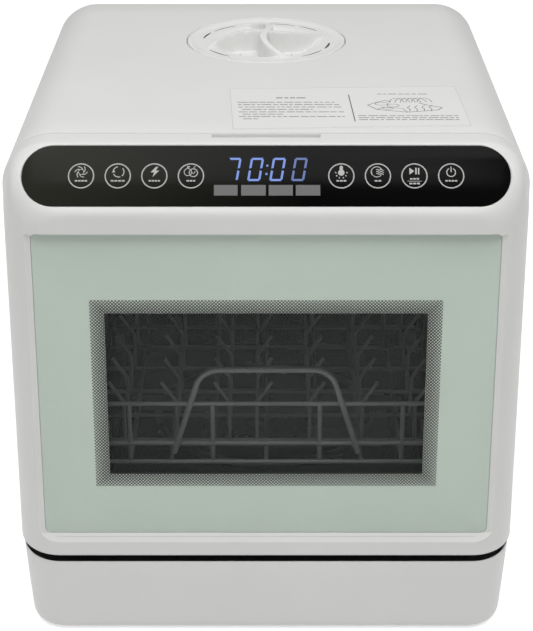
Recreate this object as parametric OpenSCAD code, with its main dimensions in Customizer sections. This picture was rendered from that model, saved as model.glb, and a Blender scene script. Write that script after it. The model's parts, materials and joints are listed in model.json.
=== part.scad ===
// Countertop dishwasher: drop-down glass door, roll-out dish rack, fill cap on top.
// Front faces -Y, its right is +X, up is +Z.
// Origin: middle of the footprint, on the surface that the feet stand on.

/* [Body] */
// Width across the front
body_w = 420; // [412:1:440]
// Depth from the door's front face to the back of the rear panel
body_d = 450; // [448:1:500]
// Height of the top face above the floor
body_h = 431; // [430:1:450]
// Wall of the moulded covers
shell_t = 3; // [2.5:0.5:4]
// Radius of the two long top edges
top_edge_r = 40; // [25:1:45]
// Width of the elliptical front corners
corner_w = 37; // [30:1:38]
// Depth of the elliptical front corners
corner_d = 48; // [42:1:52]
// Lean of each side towards the back, in degrees
side_lean = 0.9; // [0.3:0.1:1.2]
// How far the rear fittings stand out behind the rear panel
rear_reach = 8; // [6:1:12]

/* [Base] */
// Height of the base from its underside to its rim
base_h = 68.5; // [66:0.5:80]
// How far the rim of the base stands in from the body
base_inset = 2; // [1:0.5:4]
// Lean of the base's sides towards the floor, in degrees
base_lean = 3.9; // [1:0.1:5]
// Height of the feet under the base
foot_h = 2.5; // [1:0.5:6]
// Diameter of each foot
foot_d = 26; // [18:1:34]
// Height of the shadow gap over the base
gap_h = 7; // [6:0.5:10]

/* [Door] */
// Depth of the door at its edge
door_d = 60; // [57:1:66]
// Open seam between the door and the housing
seam_gap = 1; // [0.8:0.1:2]
// Height of the sloping control face below the top
facet_drop = 46.5; // [44:0.5:52]
// Lean of the control face from upright, in degrees
facet_tilt = 38; // [35:1:40]
// Hinge axis behind the door's front face
hinge_back = 15; // [14:0.5:16]
// Hinge axis above the door's lower edge
hinge_up = 15; // [14.5:0.5:17]
// Inner face of the door behind the hinge axis
liner_back = 21; // [20:0.5:22]
// Front glass opening in from each side of the body
glass_side = 25.5; // [24.5:0.5:40]
// Front glass opening below the control face
glass_drop = 16.5; // [16:0.5:37]
// Glass opening above the door's lower edge
glass_up = 19.5; // [18.5:0.5:21]
// Depth of the front glass behind the door's face
glass_in = 5; // [4:0.5:5.5]
// Thickness of the front glass
glass_t = 3; // [2.5:0.5:3.5]
// Width of the clear window in the print
window_w = 258; // [220:1:280]
// Height of the clear window in the print
window_h = 145; // [120:1:160]
// Clear window above the glass opening's lower edge
window_up = 56; // [50:0.5:70]
// Depth of the finger slot in the door's top
slot_deep = 14; // [10:1:18]
// Width of the finger slot
slot_w = 86; // [70:1:110]

/* [Control panel] */
// Black control glass in from each side of the body
panel_side = 19; // [18:1:40]
// Height of the black control glass
panel_h = 50; // [40:1:51]
// Thickness of the black control glass
panel_t = 2; // [1.5:0.5:2.5]

/* [Fill cap] */
// Diameter of the fill cap
cap_d = 144.5; // [130:0.5:150]
// Diameter of the dish in the cap
dish_d = 100; // [90:1:104]
// Depth of the dish under the cap's flat rim
dish_deep = 9; // [6:1:10]
// How far the cap's flat rim lies under the roof
cap_sink = 1.5; // [0.5:0.5:2.5]
// Height of the grip's hub over the cap's flat rim
grip_rise = 10; // [6:1:12]
// Width of a grip fin
fin_t = 6.5; // [5:0.5:8]
// Inner diameter of the filling neck
neck_d = 98; // [90:1:99]
// Cap centre in front of the rear panel's outer face
cap_from_rear = 125; // [120:1:128]

/* [Tub] */
// Room beside the tub for the hinges, from its inner wall to the body's side
side_room = 52; // [51:1:55]
// Room between the tub and the water tank behind it
tank_room = 6.7; // [4.7:0.1:12.7]
// Room over the tub for the filling neck, fan and board
roof_room = 47; // [45:1:57]
// Wall of the tub
tub_t = 2; // [1.5:0.5:2.5]
// Height of the roller ledges above the tub floor
ledge_h = 14; // [13:0.5:16]
// Depth of the water tank behind the tub
tank_d = 53; // [44:1:55]
// Width of the water tank
tank_w = 300; // [240:1:310]

/* [Rack] */
// Wire diameter of the rack
wire_d = 4; // [3:0.5:4.5]
// Height of the rack's upper rail above its floor wires
rail_rise = 56; // [50:1:70]
// Height of the rack's lower rail above its floor wires
rail_low = 18; // [14:1:24]
// Height of the handle above the rack's floor wires
handle_rise = 90; // [76:1:110]
// Rows of tines
row_count = 5; // [3:1:5]
// Diameter of the rollers
roller_d = 22; // [18:1:23]

/* [Wash system] */
// Reach of the spray arm from its axis
spray_r = 126; // [100:1:130]
// Diameter of the spray spigot
spigot_d = 18; // [14:1:22]
// Radius of the heater ring
heater_r = 100; // [80:1:108]
// Diameter of the filter cup
filter_d = 54; // [44:1:58]

/* [Hidden] */
$fn = 48;

// Clearances
seat_gap = 0.3;
run_gap = 0.06;
open_gap = 1;

// Main planes
half_w = body_w / 2;
front_y = -(body_d + rear_reach) / 2;
seam_y = front_y + door_d;
rear_y = front_y + body_d;
base_z = foot_h;
rim_z = base_z + base_h;
body_z = rim_z + gap_h;
top_z = body_h;
lean_y = front_y + corner_d;

// Hinge and the door's inner face
hinge_y = front_y + hinge_back;
hinge_z = body_z + hinge_up;
liner_y = hinge_y + liner_back;
liner_t = 3;
glass_y = front_y + glass_in;
print_t = 0.4;
glass_back_y = glass_y + glass_t + print_t;
glass_z = body_z + glass_up;
glass_top_z = top_z - facet_drop - glass_drop;
glass_w = body_w - 2 * glass_side;
glass_h = glass_top_z - glass_z;
window_z = glass_z + window_up;
swing_r = norm([liner_back + 0.5, hinge_up]) + open_gap;

// Tub, with the upstand of the base deck behind the water tank
collar_in = 8;
collar_t = 3;
seal_t = 6.7;
ledge_z = hinge_z + liner_back;
floor_z = ledge_z - ledge_h;
tub_z = floor_z - tub_t;
tub_top_z = top_z - roof_room;
tub_hw = half_w - side_room;
tub_front_y = liner_y + seat_gap + seal_t;
tank_y = rear_y - collar_in - collar_t - seat_gap - tank_d;
tub_rear_y = tank_y - tank_room;
flange_w = 7;
flange_t = 2.5;
flange_hw = tub_hw + tub_t + flange_w;
flange_top_z = tub_top_z + 4;
ledge_w = 22;
recess_hw = flange_hw + 3;
recess_top_z = flange_top_z + 4;
recess_wall = 2.5;

// Sloping control face, measured from its lower edge
facet_z = top_z - facet_drop;
facet_len = facet_drop / cos(facet_tilt);
panel_w = body_w - 2 * panel_side;
panel_mid = facet_len - panel_h / 2 - 2.1;

// Base deck
deck_t = 3;
deck_z = rim_z - 2 - deck_t;

// Hinge arms
arm_t = 4;
arm_x = recess_hw + recess_wall + 7.5;
arm_r = 7;
pin_d = 6;
pin_end = 6.5;

// Spray axis and the sump under it
axis_y = (tub_front_y + tub_rear_y) / 2;
sump_x0 = -45;
sump_x1 = 105;
sump_hd = 50;
sump_z = base_z + 46;
sump_t = 2.5;
filter_x = 66;
volute_r = 30;
volute_z = sump_z + sump_t;
volute_h = 18;
arm_z = ledge_z - 1.5;
arm_h = 7;

// Rack
wire_r = wire_d / 2;
wire_flat = wire_r * cos(22.5);
roller_z = ledge_z + seat_gap + roller_d / 2;
rack_z = ledge_z + 12;
rack_hw = tub_hw - 5;
rack_front_y = liner_y + 41;
rack_rear_y = tub_rear_y - tub_t - 20;
rail_low_z = rack_z + rail_low;
rail_z = rack_z + rail_rise;
row_y = rack_front_y + 33;
row_pitch = (rack_rear_y - rack_front_y - 40) / 5;
roller_w = 8;
tine_pitch = (rack_hw - 15) / 3;
roller_x = rack_hw - wire_flat - 4 - 0.5 - roller_w / 2;
front_roller_y = row_y + row_pitch / 2;
rear_roller_y = row_y + 4.5 * row_pitch;
upright_x = [-117, -46, 46, 117];

// Cap and neck
cap_y = rear_y - cap_from_rear;
cap_r = cap_d / 2;
cap_under_z = top_z - 14;
neck_r = neck_d / 2;
neck_z = tub_top_z + 4;
tank_top_z = tub_top_z - 6;
tank_mid_y = tank_y + tank_d / 2;

cover_white = "#dededb";
trim_grey = "#8f918e";
dark = "#2b2c2c";
steel = "#b9bcbe";

function unit(v) = v / norm(v);

// Points of an outline whose corner i is rounded to radii[i]
function rounded(pts, radii, steps = 5) = [
    for (i = [0 : len(pts) - 1])
        let (p = pts[i],
             u = unit(pts[(i + len(pts) - 1) % len(pts)] - p),
             v = unit(pts[(i + 1) % len(pts)] - p),
             r = radii[i],
             half = acos(u * v) / 2,
             c = p + unit(u + v) * r / sin(half),
             s = p + u * r / tan(half) - c,
             e = p + v * r / tan(half) - c,
             a0 = atan2(s[1], s[0]),
             turn = (atan2(e[1], e[0]) - a0 + 540) % 360 - 180)
        each r == 0 ? [p] : [for (k = [0 : steps]) c + r * [cos(a0 + turn * k / steps), sin(a0 + turn * k / steps)]]
];

// Rectangle from corner a to corner b with rounded corners
function round_rect(a, b, r, steps = 5) =
    rounded([a, [b[0], a[1]], b, [a[0], b[1]]], [r, r, r, r], steps);

// Quarter of an ellipse w by d about c, from angle a0
function quarter(c, w, d, a0, steps) = [for (k = [0 : steps])
    let (a = a0 + 90 * k / steps) [c[0] + w * cos(a), c[1] + d * sin(a)]];

// Plan outline set in by t from hw and y0: elliptical front corners, rear ones of radius r
function plan(hw, y0, y1, t, r = 0) = concat(
    quarter([-hw + corner_w, y0 + corner_d], corner_w - t, corner_d - t, 180, 9),
    quarter([hw - corner_w, y0 + corner_d], corner_w - t, corner_d - t, 270, 9),
    r == 0 ? [[hw - t, y1], [-hw + t, y1]] :
        concat(quarter([hw - t - r, y1 - r], r, r, 0, 5), quarter([-hw + t + r, y1 - r], r, r, 90, 5)));

// How far the door's corner lies behind its front face at x
function corner_back(x) = let (u = max(0, x - half_w + corner_w) / corner_w)
    corner_d * (1 - sqrt(1 - u * u));

// A flat outline in (y, z), extruded along X
module along_x(x0, x1) {
    translate([x0, 0, 0]) rotate([90, 0, 90]) linear_extrude(x1 - x0) children();
}

// A flat outline in (x, z), extruded along Y
module along_y(y0, y1) {
    translate([0, y1, 0]) rotate([90, 0, 0]) linear_extrude(y1 - y0) children();
}

// A box between two corners
module block(a, b) {
    translate(a) cube(b - a);
}

module both_sides() {
    children();
    mirror([1, 0, 0]) children();
}

module rod(a, b, r, sides = 24) {
    d = b - a;
    translate(a) rotate([0, acos(d[2] / norm(d)), atan2(d[1], d[0])])
        rotate([0, 0, 180 / sides]) cylinder(h = norm(d), r = r, $fn = sides);
}

// A rack wire: eight flats, so that crossing wires lie flat on each other
module wire(a, b, r = wire_r) {
    rod(a, b, r, 8);
}

// ---- Outer form ----

// The body's section, set in by t, whose sides lean in towards the back
module body_block(t, y0, y1, z0) {
    section = rounded([[-20, z0], [half_w - t, z0], [half_w - t, top_z - t], [-20, top_z - t]],
        [0, 0, top_edge_r - t, 0], 9);
    intersection() {
        block([-half_w, y0, z0], [half_w, y1, top_z]);
        both_sides() translate([half_w, lean_y, 0]) rotate([0, 0, side_lean])
            translate([-half_w, -lean_y, 0]) along_y(y0 - 20, y1 + 20) polygon(section);
    }
}

// The door's side outline, set in by t: upright front, sloping control face, flat top
module door_side(t) {
    low = facet_z - t * tan(facet_tilt / 2);
    back = front_y + ((top_z - t - facet_z) * sin(facet_tilt) + t) / cos(facet_tilt);
    polygon(rounded([[front_y + t, body_z + t], [front_y + t, low], [back, top_z - t],
        [seam_y + 5, top_z - t], [seam_y + 5, body_z + t]], [t > 0 ? 0 : 2.5, 6, 7, 0, 0], 4));
}

module door_solid(t) {
    intersection() {
        body_block(t, front_y + t, seam_y - seam_gap / 2, body_z + t);
        translate([0, 0, body_z]) linear_extrude(top_z - body_z) polygon(plan(half_w, front_y, seam_y + 5, t));
        along_x(-half_w, half_w) door_side(t);
    }
}

// Everything of the door that would sweep past its seam plane near the hinge
module swing_limit() {
    r = seam_y - seam_gap / 2 - hinge_y - 0.2;
    difference() {
        block([-half_w - 1, hinge_y, body_z - 1], [half_w + 1, seam_y + 1, hinge_z]);
        translate([-half_w - 2, hinge_y, hinge_z]) rotate([0, 90, 0])
            cylinder(h = body_w + 4, r = r, $fn = 96);
    }
}

// Places children on the control face: x across, z up the face, -y outwards
module on_facet() {
    translate([0, front_y + panel_mid * sin(facet_tilt), facet_z + panel_mid * cos(facet_tilt)])
        rotate([-facet_tilt, 0, 0]) children();
}

// A pill-shaped plate w by h, between depths y0 and y1
module pill(w, h, y0, y1) {
    block([-(w - h) / 2, y0, -h / 2], [(w - h) / 2, y1, h / 2]);
    both_sides() translate([(w - h) / 2, y1, 0]) rotate([90, 0, 0]) cylinder(h = y1 - y0, d = h, $fn = 64);
}

// ---- Base ----

module base_solid(t) {
    side_in = tan(base_lean) * base_h;
    hw = half_w - base_inset - t;
    y0 = front_y + base_inset + t;
    y1 = rear_y - base_inset - t;
    intersection() {
        translate([0, 0, base_z]) linear_extrude(base_h)
            polygon(plan(half_w, front_y, y1, base_inset + t, 12));
        along_y(y0, y1) polygon(rounded([[-hw + side_in, base_z], [hw - side_in, base_z],
            [hw, rim_z], [-hw, rim_z]], [5, 5, 0, 0]));
        along_x(-hw, hw) polygon(rounded([[y0 + side_in, base_z], [y1 - side_in, base_z],
            [y1, rim_z], [y0, rim_z]], [5, 5, 0, 0]));
    }
}

foot_x = half_w - 45;
foot_y0 = front_y + 50;
foot_y1 = rear_y - 50;
post_d = 14;

module at_feet() {
    for (x = [-foot_x, foot_x], y = [foot_y0, foot_y1]) translate([x, y, 0]) children();
}

module base_tray() {
    color(cover_white) {
        difference() {
            base_solid(0);
            translate([0, 0, shell_t]) base_solid(shell_t);
            at_feet() translate([0, 0, base_z - 1]) cylinder(h = 5, d = foot_d - 12);
        }
        at_feet() translate([0, 20, base_z + shell_t - 0.5])
            cylinder(h = deck_z - base_z - shell_t + 0.5, d = post_d);
    }
}

module feet() {
    color(dark) at_feet() {
        cylinder(h = foot_h, d = foot_d);
        translate([0, 0, foot_h]) cylinder(h = shell_t, d = foot_d - 12.4);
    }
}

module base_deck() {
    outer_in = base_inset + shell_t + 1;
    collar_hw = half_w - collar_in - tan(side_lean) * body_d;
    collar_y0 = hinge_y + swing_r;
    collar_y1 = rear_y - collar_in;
    color(dark) difference() {
        union() {
            translate([0, 0, deck_z]) linear_extrude(deck_t)
                polygon(plan(half_w, front_y, rear_y - outer_in, outer_in, 11));
            block([-collar_hw, collar_y0, deck_z], [collar_hw, collar_y1, body_z]);
            intersection() {
                block([-half_w, seam_y + 8, body_z - 0.01], [half_w, collar_y1, body_z + 4]);
                body_block(shell_t, seam_y, rear_y, body_z - 1);
            }
        }
        block([-collar_hw + collar_t, collar_y0 + collar_t, deck_z + deck_t],
            [collar_hw - collar_t, collar_y1 - collar_t, body_z + 10]);
        both_sides() block([arm_x - 1, collar_y0 - 1, deck_z + deck_t],
            [arm_x + arm_t + 1, collar_y0 + collar_t + 1, body_z + 1]);
        block([sump_x0 - 6, axis_y - sump_hd - 6, deck_z - 1],
            [sump_x1 + 62, axis_y + sump_hd + 6, deck_z + deck_t + 1]);
        translate([-80, tank_mid_y, deck_z - 1]) cylinder(h = deck_t + 2, r = 11);
    }
}

// ---- Housing ----

module housing() {
    y0 = seam_y + seam_gap / 2;
    color(cover_white) difference() {
        body_block(0, y0, rear_y, body_z);
        body_block(shell_t, y0 - 1, rear_y + 1, body_z - 1);
        translate([0, cap_y, top_z - shell_t - 1]) cylinder(h = shell_t + 2, r = cap_r + 0.6, $fn = 96);
    }
}

inlet_x = -120;
outlet_x = 120;
gland_x = 60;
fitting_z = body_z + 40;
panel_y = rear_y - 1.5;
screw_x = half_w - tan(side_lean) * body_d - 16;

module rear_panel() {
    color(steel) difference() {
        intersection() {
            body_block(shell_t + 0.2, panel_y, rear_y, body_z);
            block([-half_w, panel_y, body_z + 4.2], [half_w, rear_y, top_z]);
        }
        for (x = [-84 : 12 : 84])
            along_y(panel_y - 1, rear_y + 1)
                polygon(round_rect([x - 2.5, body_z + 180], [x + 2.5, body_z + 240], 2.4, 3));
        for (p = [[inlet_x, 14.2], [outlet_x, 10.2], [gland_x, 8.2]])
            translate([p[0], rear_y + 1, fitting_z]) rotate([90, 0, 0]) cylinder(h = 4, r = p[1]);
        for (x = [-screw_x, screw_x], z = [body_z + 30, top_z - 60])
            translate([x, rear_y + 1, z]) rotate([90, 0, 0]) cylinder(h = 4, r = 2.1);
    }
}

module rear_screws() {
    color(steel) for (x = [-screw_x, screw_x], z = [body_z + 30, top_z - 60])
        translate([x, rear_y, z]) rotate([90, 0, 0]) {
            translate([0, 0, -2]) cylinder(h = 2, r = 4);
            cylinder(h = 8, r = 2);
        }
}

module tips_label() {
    label_w = 193;
    label_d = 107;
    label_x = half_w - top_edge_r - label_w / 2 - 6.5;
    color("#e4e4e2") translate([label_x, front_y + 126, top_z]) rotate([0, 0, 2.4])
        linear_extrude(0.25) polygon(round_rect([-label_w / 2, -label_d / 2], [label_w / 2, label_d / 2], 2));
}

// ---- Tub ----

fan_x = 46 - tub_hw;
fan_y = axis_y - 20;
lamp_y = tub_front_y + 75;
float_x = 48 - tub_hw;
float_y = axis_y + 112;
heater_ends = [100, 118];

module tub() {
    outer_hw = tub_hw + tub_t;
    ledge_y1 = tub_rear_y - tub_t;
    color("#4a4d4e") difference() {
        union() {
            block([-outer_hw, tub_front_y, tub_z], [outer_hw, tub_rear_y, tub_top_z]);
            block([-flange_hw, tub_front_y, tub_z], [flange_hw, tub_front_y + flange_t, flange_top_z]);
        }
        along_y(tub_front_y - 1, tub_rear_y - tub_t)
            polygon(rounded([[-tub_hw, floor_z], [tub_hw, floor_z],
                [tub_hw, tub_top_z - tub_t], [-tub_hw, tub_top_z - tub_t]], [0, 0, 14, 14]));
        block([sump_x0 + sump_t, axis_y - sump_hd + sump_t, tub_z - 1],
            [sump_x1 - sump_t, axis_y + sump_hd - sump_t, floor_z + 1]);
        translate([float_x, float_y, tub_z - 1]) cylinder(h = 4, r = 3.3);
        translate([fan_x, fan_y, tub_top_z - 4]) cylinder(h = 6, r = 18);
        translate([0, lamp_y, tub_top_z - 4]) cylinder(h = 6, r = 12.3);
        for (a = heater_ends) translate([heater_r * cos(a), axis_y + heater_r * sin(a), tub_z - 1])
            cylinder(h = 4, r = 4.8);
    }
    color("#4a4d4e") both_sides()
        block([tub_hw - ledge_w, tub_front_y + 2, floor_z], [tub_hw, ledge_y1, ledge_z]);
}

module front_sill() {
    color(trim_grey) along_x(-flange_hw, flange_hw) difference() {
        polygon([[liner_y + 0.5, ledge_z - 6], [tub_front_y, ledge_z - 15],
            [tub_front_y, ledge_z], [liner_y + 0.5, ledge_z]]);
        translate([hinge_y, hinge_z]) circle(r = swing_r, $fn = 96);
    }
}

module door_seal() {
    y1 = tub_front_y;
    color("#6b6e6e") along_y(y1 - seal_t, y1) difference() {
        polygon(round_rect([-flange_hw + 1, ledge_z], [flange_hw - 1, flange_top_z - 2], 8));
        polygon(rounded([[-tub_hw - 0.5, ledge_z - 1], [tub_hw + 0.5, ledge_z - 1],
            [tub_hw + 0.5, tub_top_z - tub_t], [-tub_hw - 0.5, tub_top_z - tub_t]], [0, 0, 6, 6]));
    }
}

// ---- Door ----

module glass_cut(grow, y0, y1, r) {
    along_y(y0, y1) polygon(round_rect([-glass_w / 2 - grow, glass_z - grow],
        [glass_w / 2 + grow, glass_top_z + grow], r));
}

module door_frame() {
    lip_h = 6.5;
    land_w = 5.5;
    ring_w = 4;
    seat_w = 6;
    land_hw = glass_w / 2 + land_w;
    slot_y1 = seam_y - seam_gap / 2 - 2.5;
    slot_y0 = slot_y1 - 8;
    color(cover_white) difference() {
        union() {
            difference() {
                door_solid(0);
                door_solid(shell_t);
            }
            // ring and ledge that carry the glass
            intersection() {
                door_solid(0);
                glass_cut(ring_w, front_y + 1, glass_back_y + 2, 9);
            }
            // pocket round the finger slot
            intersection() {
                door_solid(0);
                block([-slot_w / 2 - 3, slot_y0 - 2.5, top_z - slot_deep - 2.5],
                    [slot_w / 2 + 3, seam_y, top_z]);
            }
            // pads round the control glass's recess
            intersection() {
                door_solid(0);
                on_facet() pill(panel_w + 8, panel_h + 6, -1, 5);
            }
            // bosses that turn on the hinge pins
            intersection() {
                door_solid(0);
                both_sides() rod([arm_x + arm_t + 0.5, hinge_y, hinge_z], [half_w, hinge_y, hinge_z], 6);
            }
        }
        glass_cut(0.3, front_y - 1, glass_back_y, 5.3);
        glass_cut(-seat_w, front_y, glass_back_y + 3, 4);
        // bevel under the glass, and the lands beside it
        along_x(-land_hw, land_hw) polygon([[front_y - 1, glass_z - lip_h * (1 + 1 / glass_in)],
            [glass_y, glass_z], [glass_y, glass_z + 2], [front_y - 1, glass_z + 2]]);
        both_sides() translate([0, 0, glass_z]) linear_extrude(glass_h)
            polygon([[glass_w / 2 - 1, front_y - 1], [land_hw, front_y - 1],
                [land_hw, front_y + corner_back(land_hw)], [glass_w / 2 + 0.3, glass_y], [glass_w / 2 - 1, glass_y]]);
        // room for the hinge arms and the liner's bosses behind the glass
        both_sides() rod([arm_x - 8, hinge_y, hinge_z], [arm_x + arm_t + 0.4, hinge_y, hinge_z], arm_r + 1);
        on_facet() pill(panel_w, panel_h, -2, panel_t);
        on_facet() pill(panel_w - 8, panel_h - 8, 0, 8);
        // finger slot with a sloping back
        along_x(-slot_w / 2, slot_w / 2) polygon([[slot_y0, top_z + 1], [slot_y0, top_z - slot_deep],
            [slot_y0 + 4, top_z - slot_deep], [slot_y1, top_z + 0.2], [slot_y1, top_z + 1]]);
        both_sides() rod([arm_x - 20, hinge_y, hinge_z], [arm_x + arm_t + pin_end, hinge_y, hinge_z],
            pin_d / 2 + run_gap);
        // open underside behind the glass, and slots for the hinge arms
        block([-recess_hw, hinge_y + liner_back + 0.5, body_z - 1], [recess_hw, seam_y, body_z + shell_t + 1]);
        both_sides() block([arm_x - 1.5, hinge_y - arm_r - 1, body_z - 1],
            [arm_x + arm_t + 0.4, seam_y, body_z + shell_t + 1]);
        swing_limit();
    }
}

module door_glass() {
    color("#b5c4ba", 0.5) glass_cut(0, glass_y, glass_y + glass_t, 5);
}

module glass_print() {
    y0 = glass_y + glass_t;
    color("#aab8ae") difference() {
        glass_cut(-0.5, y0, y0 + print_t, 4.5);
        along_y(y0 - 1, y0 + 2) polygon(round_rect([-window_w / 2, window_z],
            [window_w / 2, window_z + window_h], 3));
    }
}

view_hw = window_w / 2 + 17;
view_z0 = window_z - 34;
view_z1 = window_z + window_h + 2;

module inner_glass() {
    y1 = liner_y - liner_t;
    color("#4c5250", 0.4) along_y(y1 - 3, y1)
        polygon(round_rect([-view_hw - 8, view_z0 - 6], [view_hw + 8, view_z1 + 8], 8));
}

module door_liner() {
    y1 = seam_y - seam_gap / 2;
    out_hw = recess_hw + recess_wall;
    color("#75787a") difference() {
        union() {
            intersection() {
                door_solid(shell_t + 0.2);
                union() {
                    block([-half_w, y1 - 3, body_z], [half_w, seam_y, top_z - slot_deep - 3]);
                    block([-out_hw, liner_y - liner_t, body_z + shell_t + 0.3],
                        [out_hw, y1, recess_top_z + recess_wall]);
                }
            }
            both_sides() rod([arm_x - 0.5, hinge_y, hinge_z], [arm_x - 7, hinge_y, hinge_z], 6);
            both_sides() block([arm_x - 7.5, hinge_y - 4, hinge_z - 4],
                [arm_x - 5, liner_y, hinge_z + 30]);
        }
        block([-recess_hw, liner_y, body_z], [recess_hw, seam_y, recess_top_z]);
        along_y(liner_y - 5, liner_y + 1)
            polygon(round_rect([-view_hw, view_z0], [view_hw, view_z1], 8));
        both_sides() rod([arm_x - 20, hinge_y, hinge_z], [arm_x + 5, hinge_y, hinge_z], pin_d / 2 + run_gap);
        both_sides() block([arm_x - 0.5, hinge_y - 20, body_z - 1],
            [arm_x + arm_t + 0.5, seam_y, hinge_z + 26]);
        swing_limit();
    }
}

module control_glass() {
    color("#1b1b1a") on_facet() pill(panel_w - 0.4, panel_h - 0.4, 0, panel_t);
}

module touch_board() {
    color("#2f6b45") on_facet() block([-panel_w / 2 + 20, panel_t + 1.5, -panel_h / 2 + 8],
        [panel_w / 2 - 20, panel_t + 3.1, panel_h / 2 - 8]);
}

module display_module() {
    color(dark) on_facet() {
        block([-44, panel_t + 0.3, -17], [44, panel_t + 1.5, 16]);
        block([-30, panel_t + 3.1, -12], [30, panel_t + 9, 12]);
    }
}

// ---- Latch and hinges ----

latch_z = flange_top_z + 8;

module latch_hook() {
    y0 = seam_y - seam_gap / 2;
    color(trim_grey) along_x(-9, 9) polygon([[y0, latch_z - 2], [y0 + 14, latch_z - 2],
        [y0 + 14, latch_z + 5], [y0 + 10, latch_z + 5], [y0 + 8, latch_z + 2.5], [y0, latch_z + 2.5]]);
}

module latch_catch() {
    y0 = seam_y + 5;
    color(dark) difference() {
        block([-16, y0, tub_top_z], [16, y0 + 26, latch_z + 16]);
        block([-12, y0 - 1, latch_z - 5], [12, y0 + 18, latch_z + 13]);
        block([-17, y0 - 1, tub_top_z + 1.5], [-13.5, y0 + 30, latch_z + 17]);
    }
}

module hinge_arms() {
    foot_y = seam_y + 4;
    color(steel) both_sides() {
        difference() {
            union() {
                rod([arm_x, hinge_y, hinge_z], [arm_x + arm_t, hinge_y, hinge_z], arm_r, 48);
                along_x(arm_x, arm_x + arm_t) polygon([[hinge_y, hinge_z - arm_r], [foot_y, hinge_z - arm_r],
                    [foot_y, deck_z + deck_t], [foot_y + 30, deck_z + deck_t],
                    [foot_y + 30, hinge_z + arm_r], [hinge_y, hinge_z + arm_r]]);
            }
            rod([arm_x - 1, hinge_y, hinge_z], [arm_x + arm_t + 1, hinge_y, hinge_z], pin_d / 2 + 0.02, 48);
        }
        block([arm_x - 14, foot_y, deck_z + deck_t], [arm_x + 1, foot_y + 30, deck_z + deck_t + 3]);
    }
}

module hinge_pins() {
    color(steel) both_sides()
        rod([arm_x - 6.5, hinge_y, hinge_z], [arm_x + arm_t + pin_end - 0.5, hinge_y, hinge_z], pin_d / 2, 48);
}

// ---- Fill cap, neck and tank ----

neck_wall = 2.5;
seat_z = cap_under_z - seat_gap;
duct_hw = 26;
duct_top_z = seat_z - 6;

module duct_inside(y0) {
    block([-duct_hw + neck_wall, y0, neck_z + neck_wall],
        [duct_hw - neck_wall, tank_y + tank_d - neck_wall, duct_top_z - neck_wall]);
}

module fill_neck() {
    rim_z0 = top_z - shell_t;
    rim_r = cap_r + 1;
    color(cover_white) difference() {
        translate([0, cap_y, 0]) rotate_extrude($fn = 96) polygon([[0, neck_z],
            [neck_r + neck_wall, neck_z], [neck_r + neck_wall, seat_z - neck_wall],
            [rim_r + neck_wall, seat_z - neck_wall], [rim_r + neck_wall, rim_z0 - neck_wall],
            [rim_r + 9, rim_z0 - neck_wall], [rim_r + 9, rim_z0], [rim_r, rim_z0],
            [rim_r, seat_z], [neck_r, seat_z], [neck_r, neck_z + neck_wall], [0, neck_z + neck_wall]]);
        duct_inside(cap_y);
    }
}

module fill_duct() {
    color(cover_white) difference() {
        union() {
            block([-duct_hw, cap_y, neck_z], [duct_hw, tank_y + tank_d, duct_top_z]);
            translate([0, tank_mid_y, tank_top_z - 10]) cylinder(h = neck_z - tank_top_z + 11, r = 14);
        }
        translate([0, cap_y, neck_z - 1]) cylinder(h = 40, r = neck_r + neck_wall + 0.2, $fn = 96);
        duct_inside(cap_y);
        translate([0, tank_mid_y, tank_top_z - 11]) cylinder(h = neck_z - tank_top_z + 14, r = 11.5);
    }
}

seal_z = cap_under_z - 12;

skirt_r = neck_r - 1.5;
dish_r = dish_d / 2;
dish_wall = 16;
cap_top_z = top_z - cap_sink;
dish_z = cap_top_z - dish_deep;

module fill_cap() {
    color(cover_white) translate([0, cap_y, 0]) difference() {
        rotate_extrude($fn = 96) polygon([[0, cap_under_z], [skirt_r - 4, cap_under_z],
            [skirt_r - 4, seal_z - 6], [skirt_r, seal_z - 6], [skirt_r, cap_under_z],
            [cap_r, cap_under_z], [cap_r, cap_top_z - 1], [cap_r - 1, cap_top_z],
            [dish_r, cap_top_z], [dish_r - dish_wall, dish_z], [0, dish_z]]);
        translate([0, 0, seal_z - 2]) rotate_extrude() polygon([[skirt_r - 1.5, 0],
            [skirt_r + 1, 0], [skirt_r + 1, 4], [skirt_r - 1.5, 4]]);
    }
}

// Four curved grip fins that meet at the hub, standing in the cap's dish, with domed tops
module cap_ridges() {
    reach = dish_r + 8;
    crest = [[1, 0.08], [0.93, 0.16], [0.81, 0.38], [0.64, 0.65], [0.41, 0.91], [0.21, 0.99], [0, 1]];
    bend_r = 42;
    color(cover_white) translate([0, cap_y, cap_top_z]) intersection() {
        rotate_extrude($fn = 96) polygon(concat([[0, -dish_deep], [dish_r - dish_wall - 0.2, -dish_deep],
            [dish_r - 0.2, 0], [reach, 0]], [for (c = crest) [c[0] * reach, c[1] * grip_rise]]));
        for (a = [69 : 90 : 339]) rotate([0, 0, a]) translate([0, bend_r, -dish_deep]) difference() {
            cylinder(h = dish_deep + grip_rise, r = bend_r + fin_t / 2);
            translate([0, 0, -1]) cylinder(h = dish_deep + grip_rise + 2, r = bend_r - fin_t / 2);
            translate([-60, -60, -1]) cube([60, 120, dish_deep + grip_rise + 2]);
        }
    }
}

module cap_seal() {
    color(dark) translate([0, cap_y, seal_z - 1.9]) rotate_extrude($fn = 96)
        polygon([[skirt_r - 1.4, 0], [neck_r - 0.3, 0], [neck_r - 0.3, 3.8], [skirt_r - 1.4, 3.8]]);
}

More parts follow.
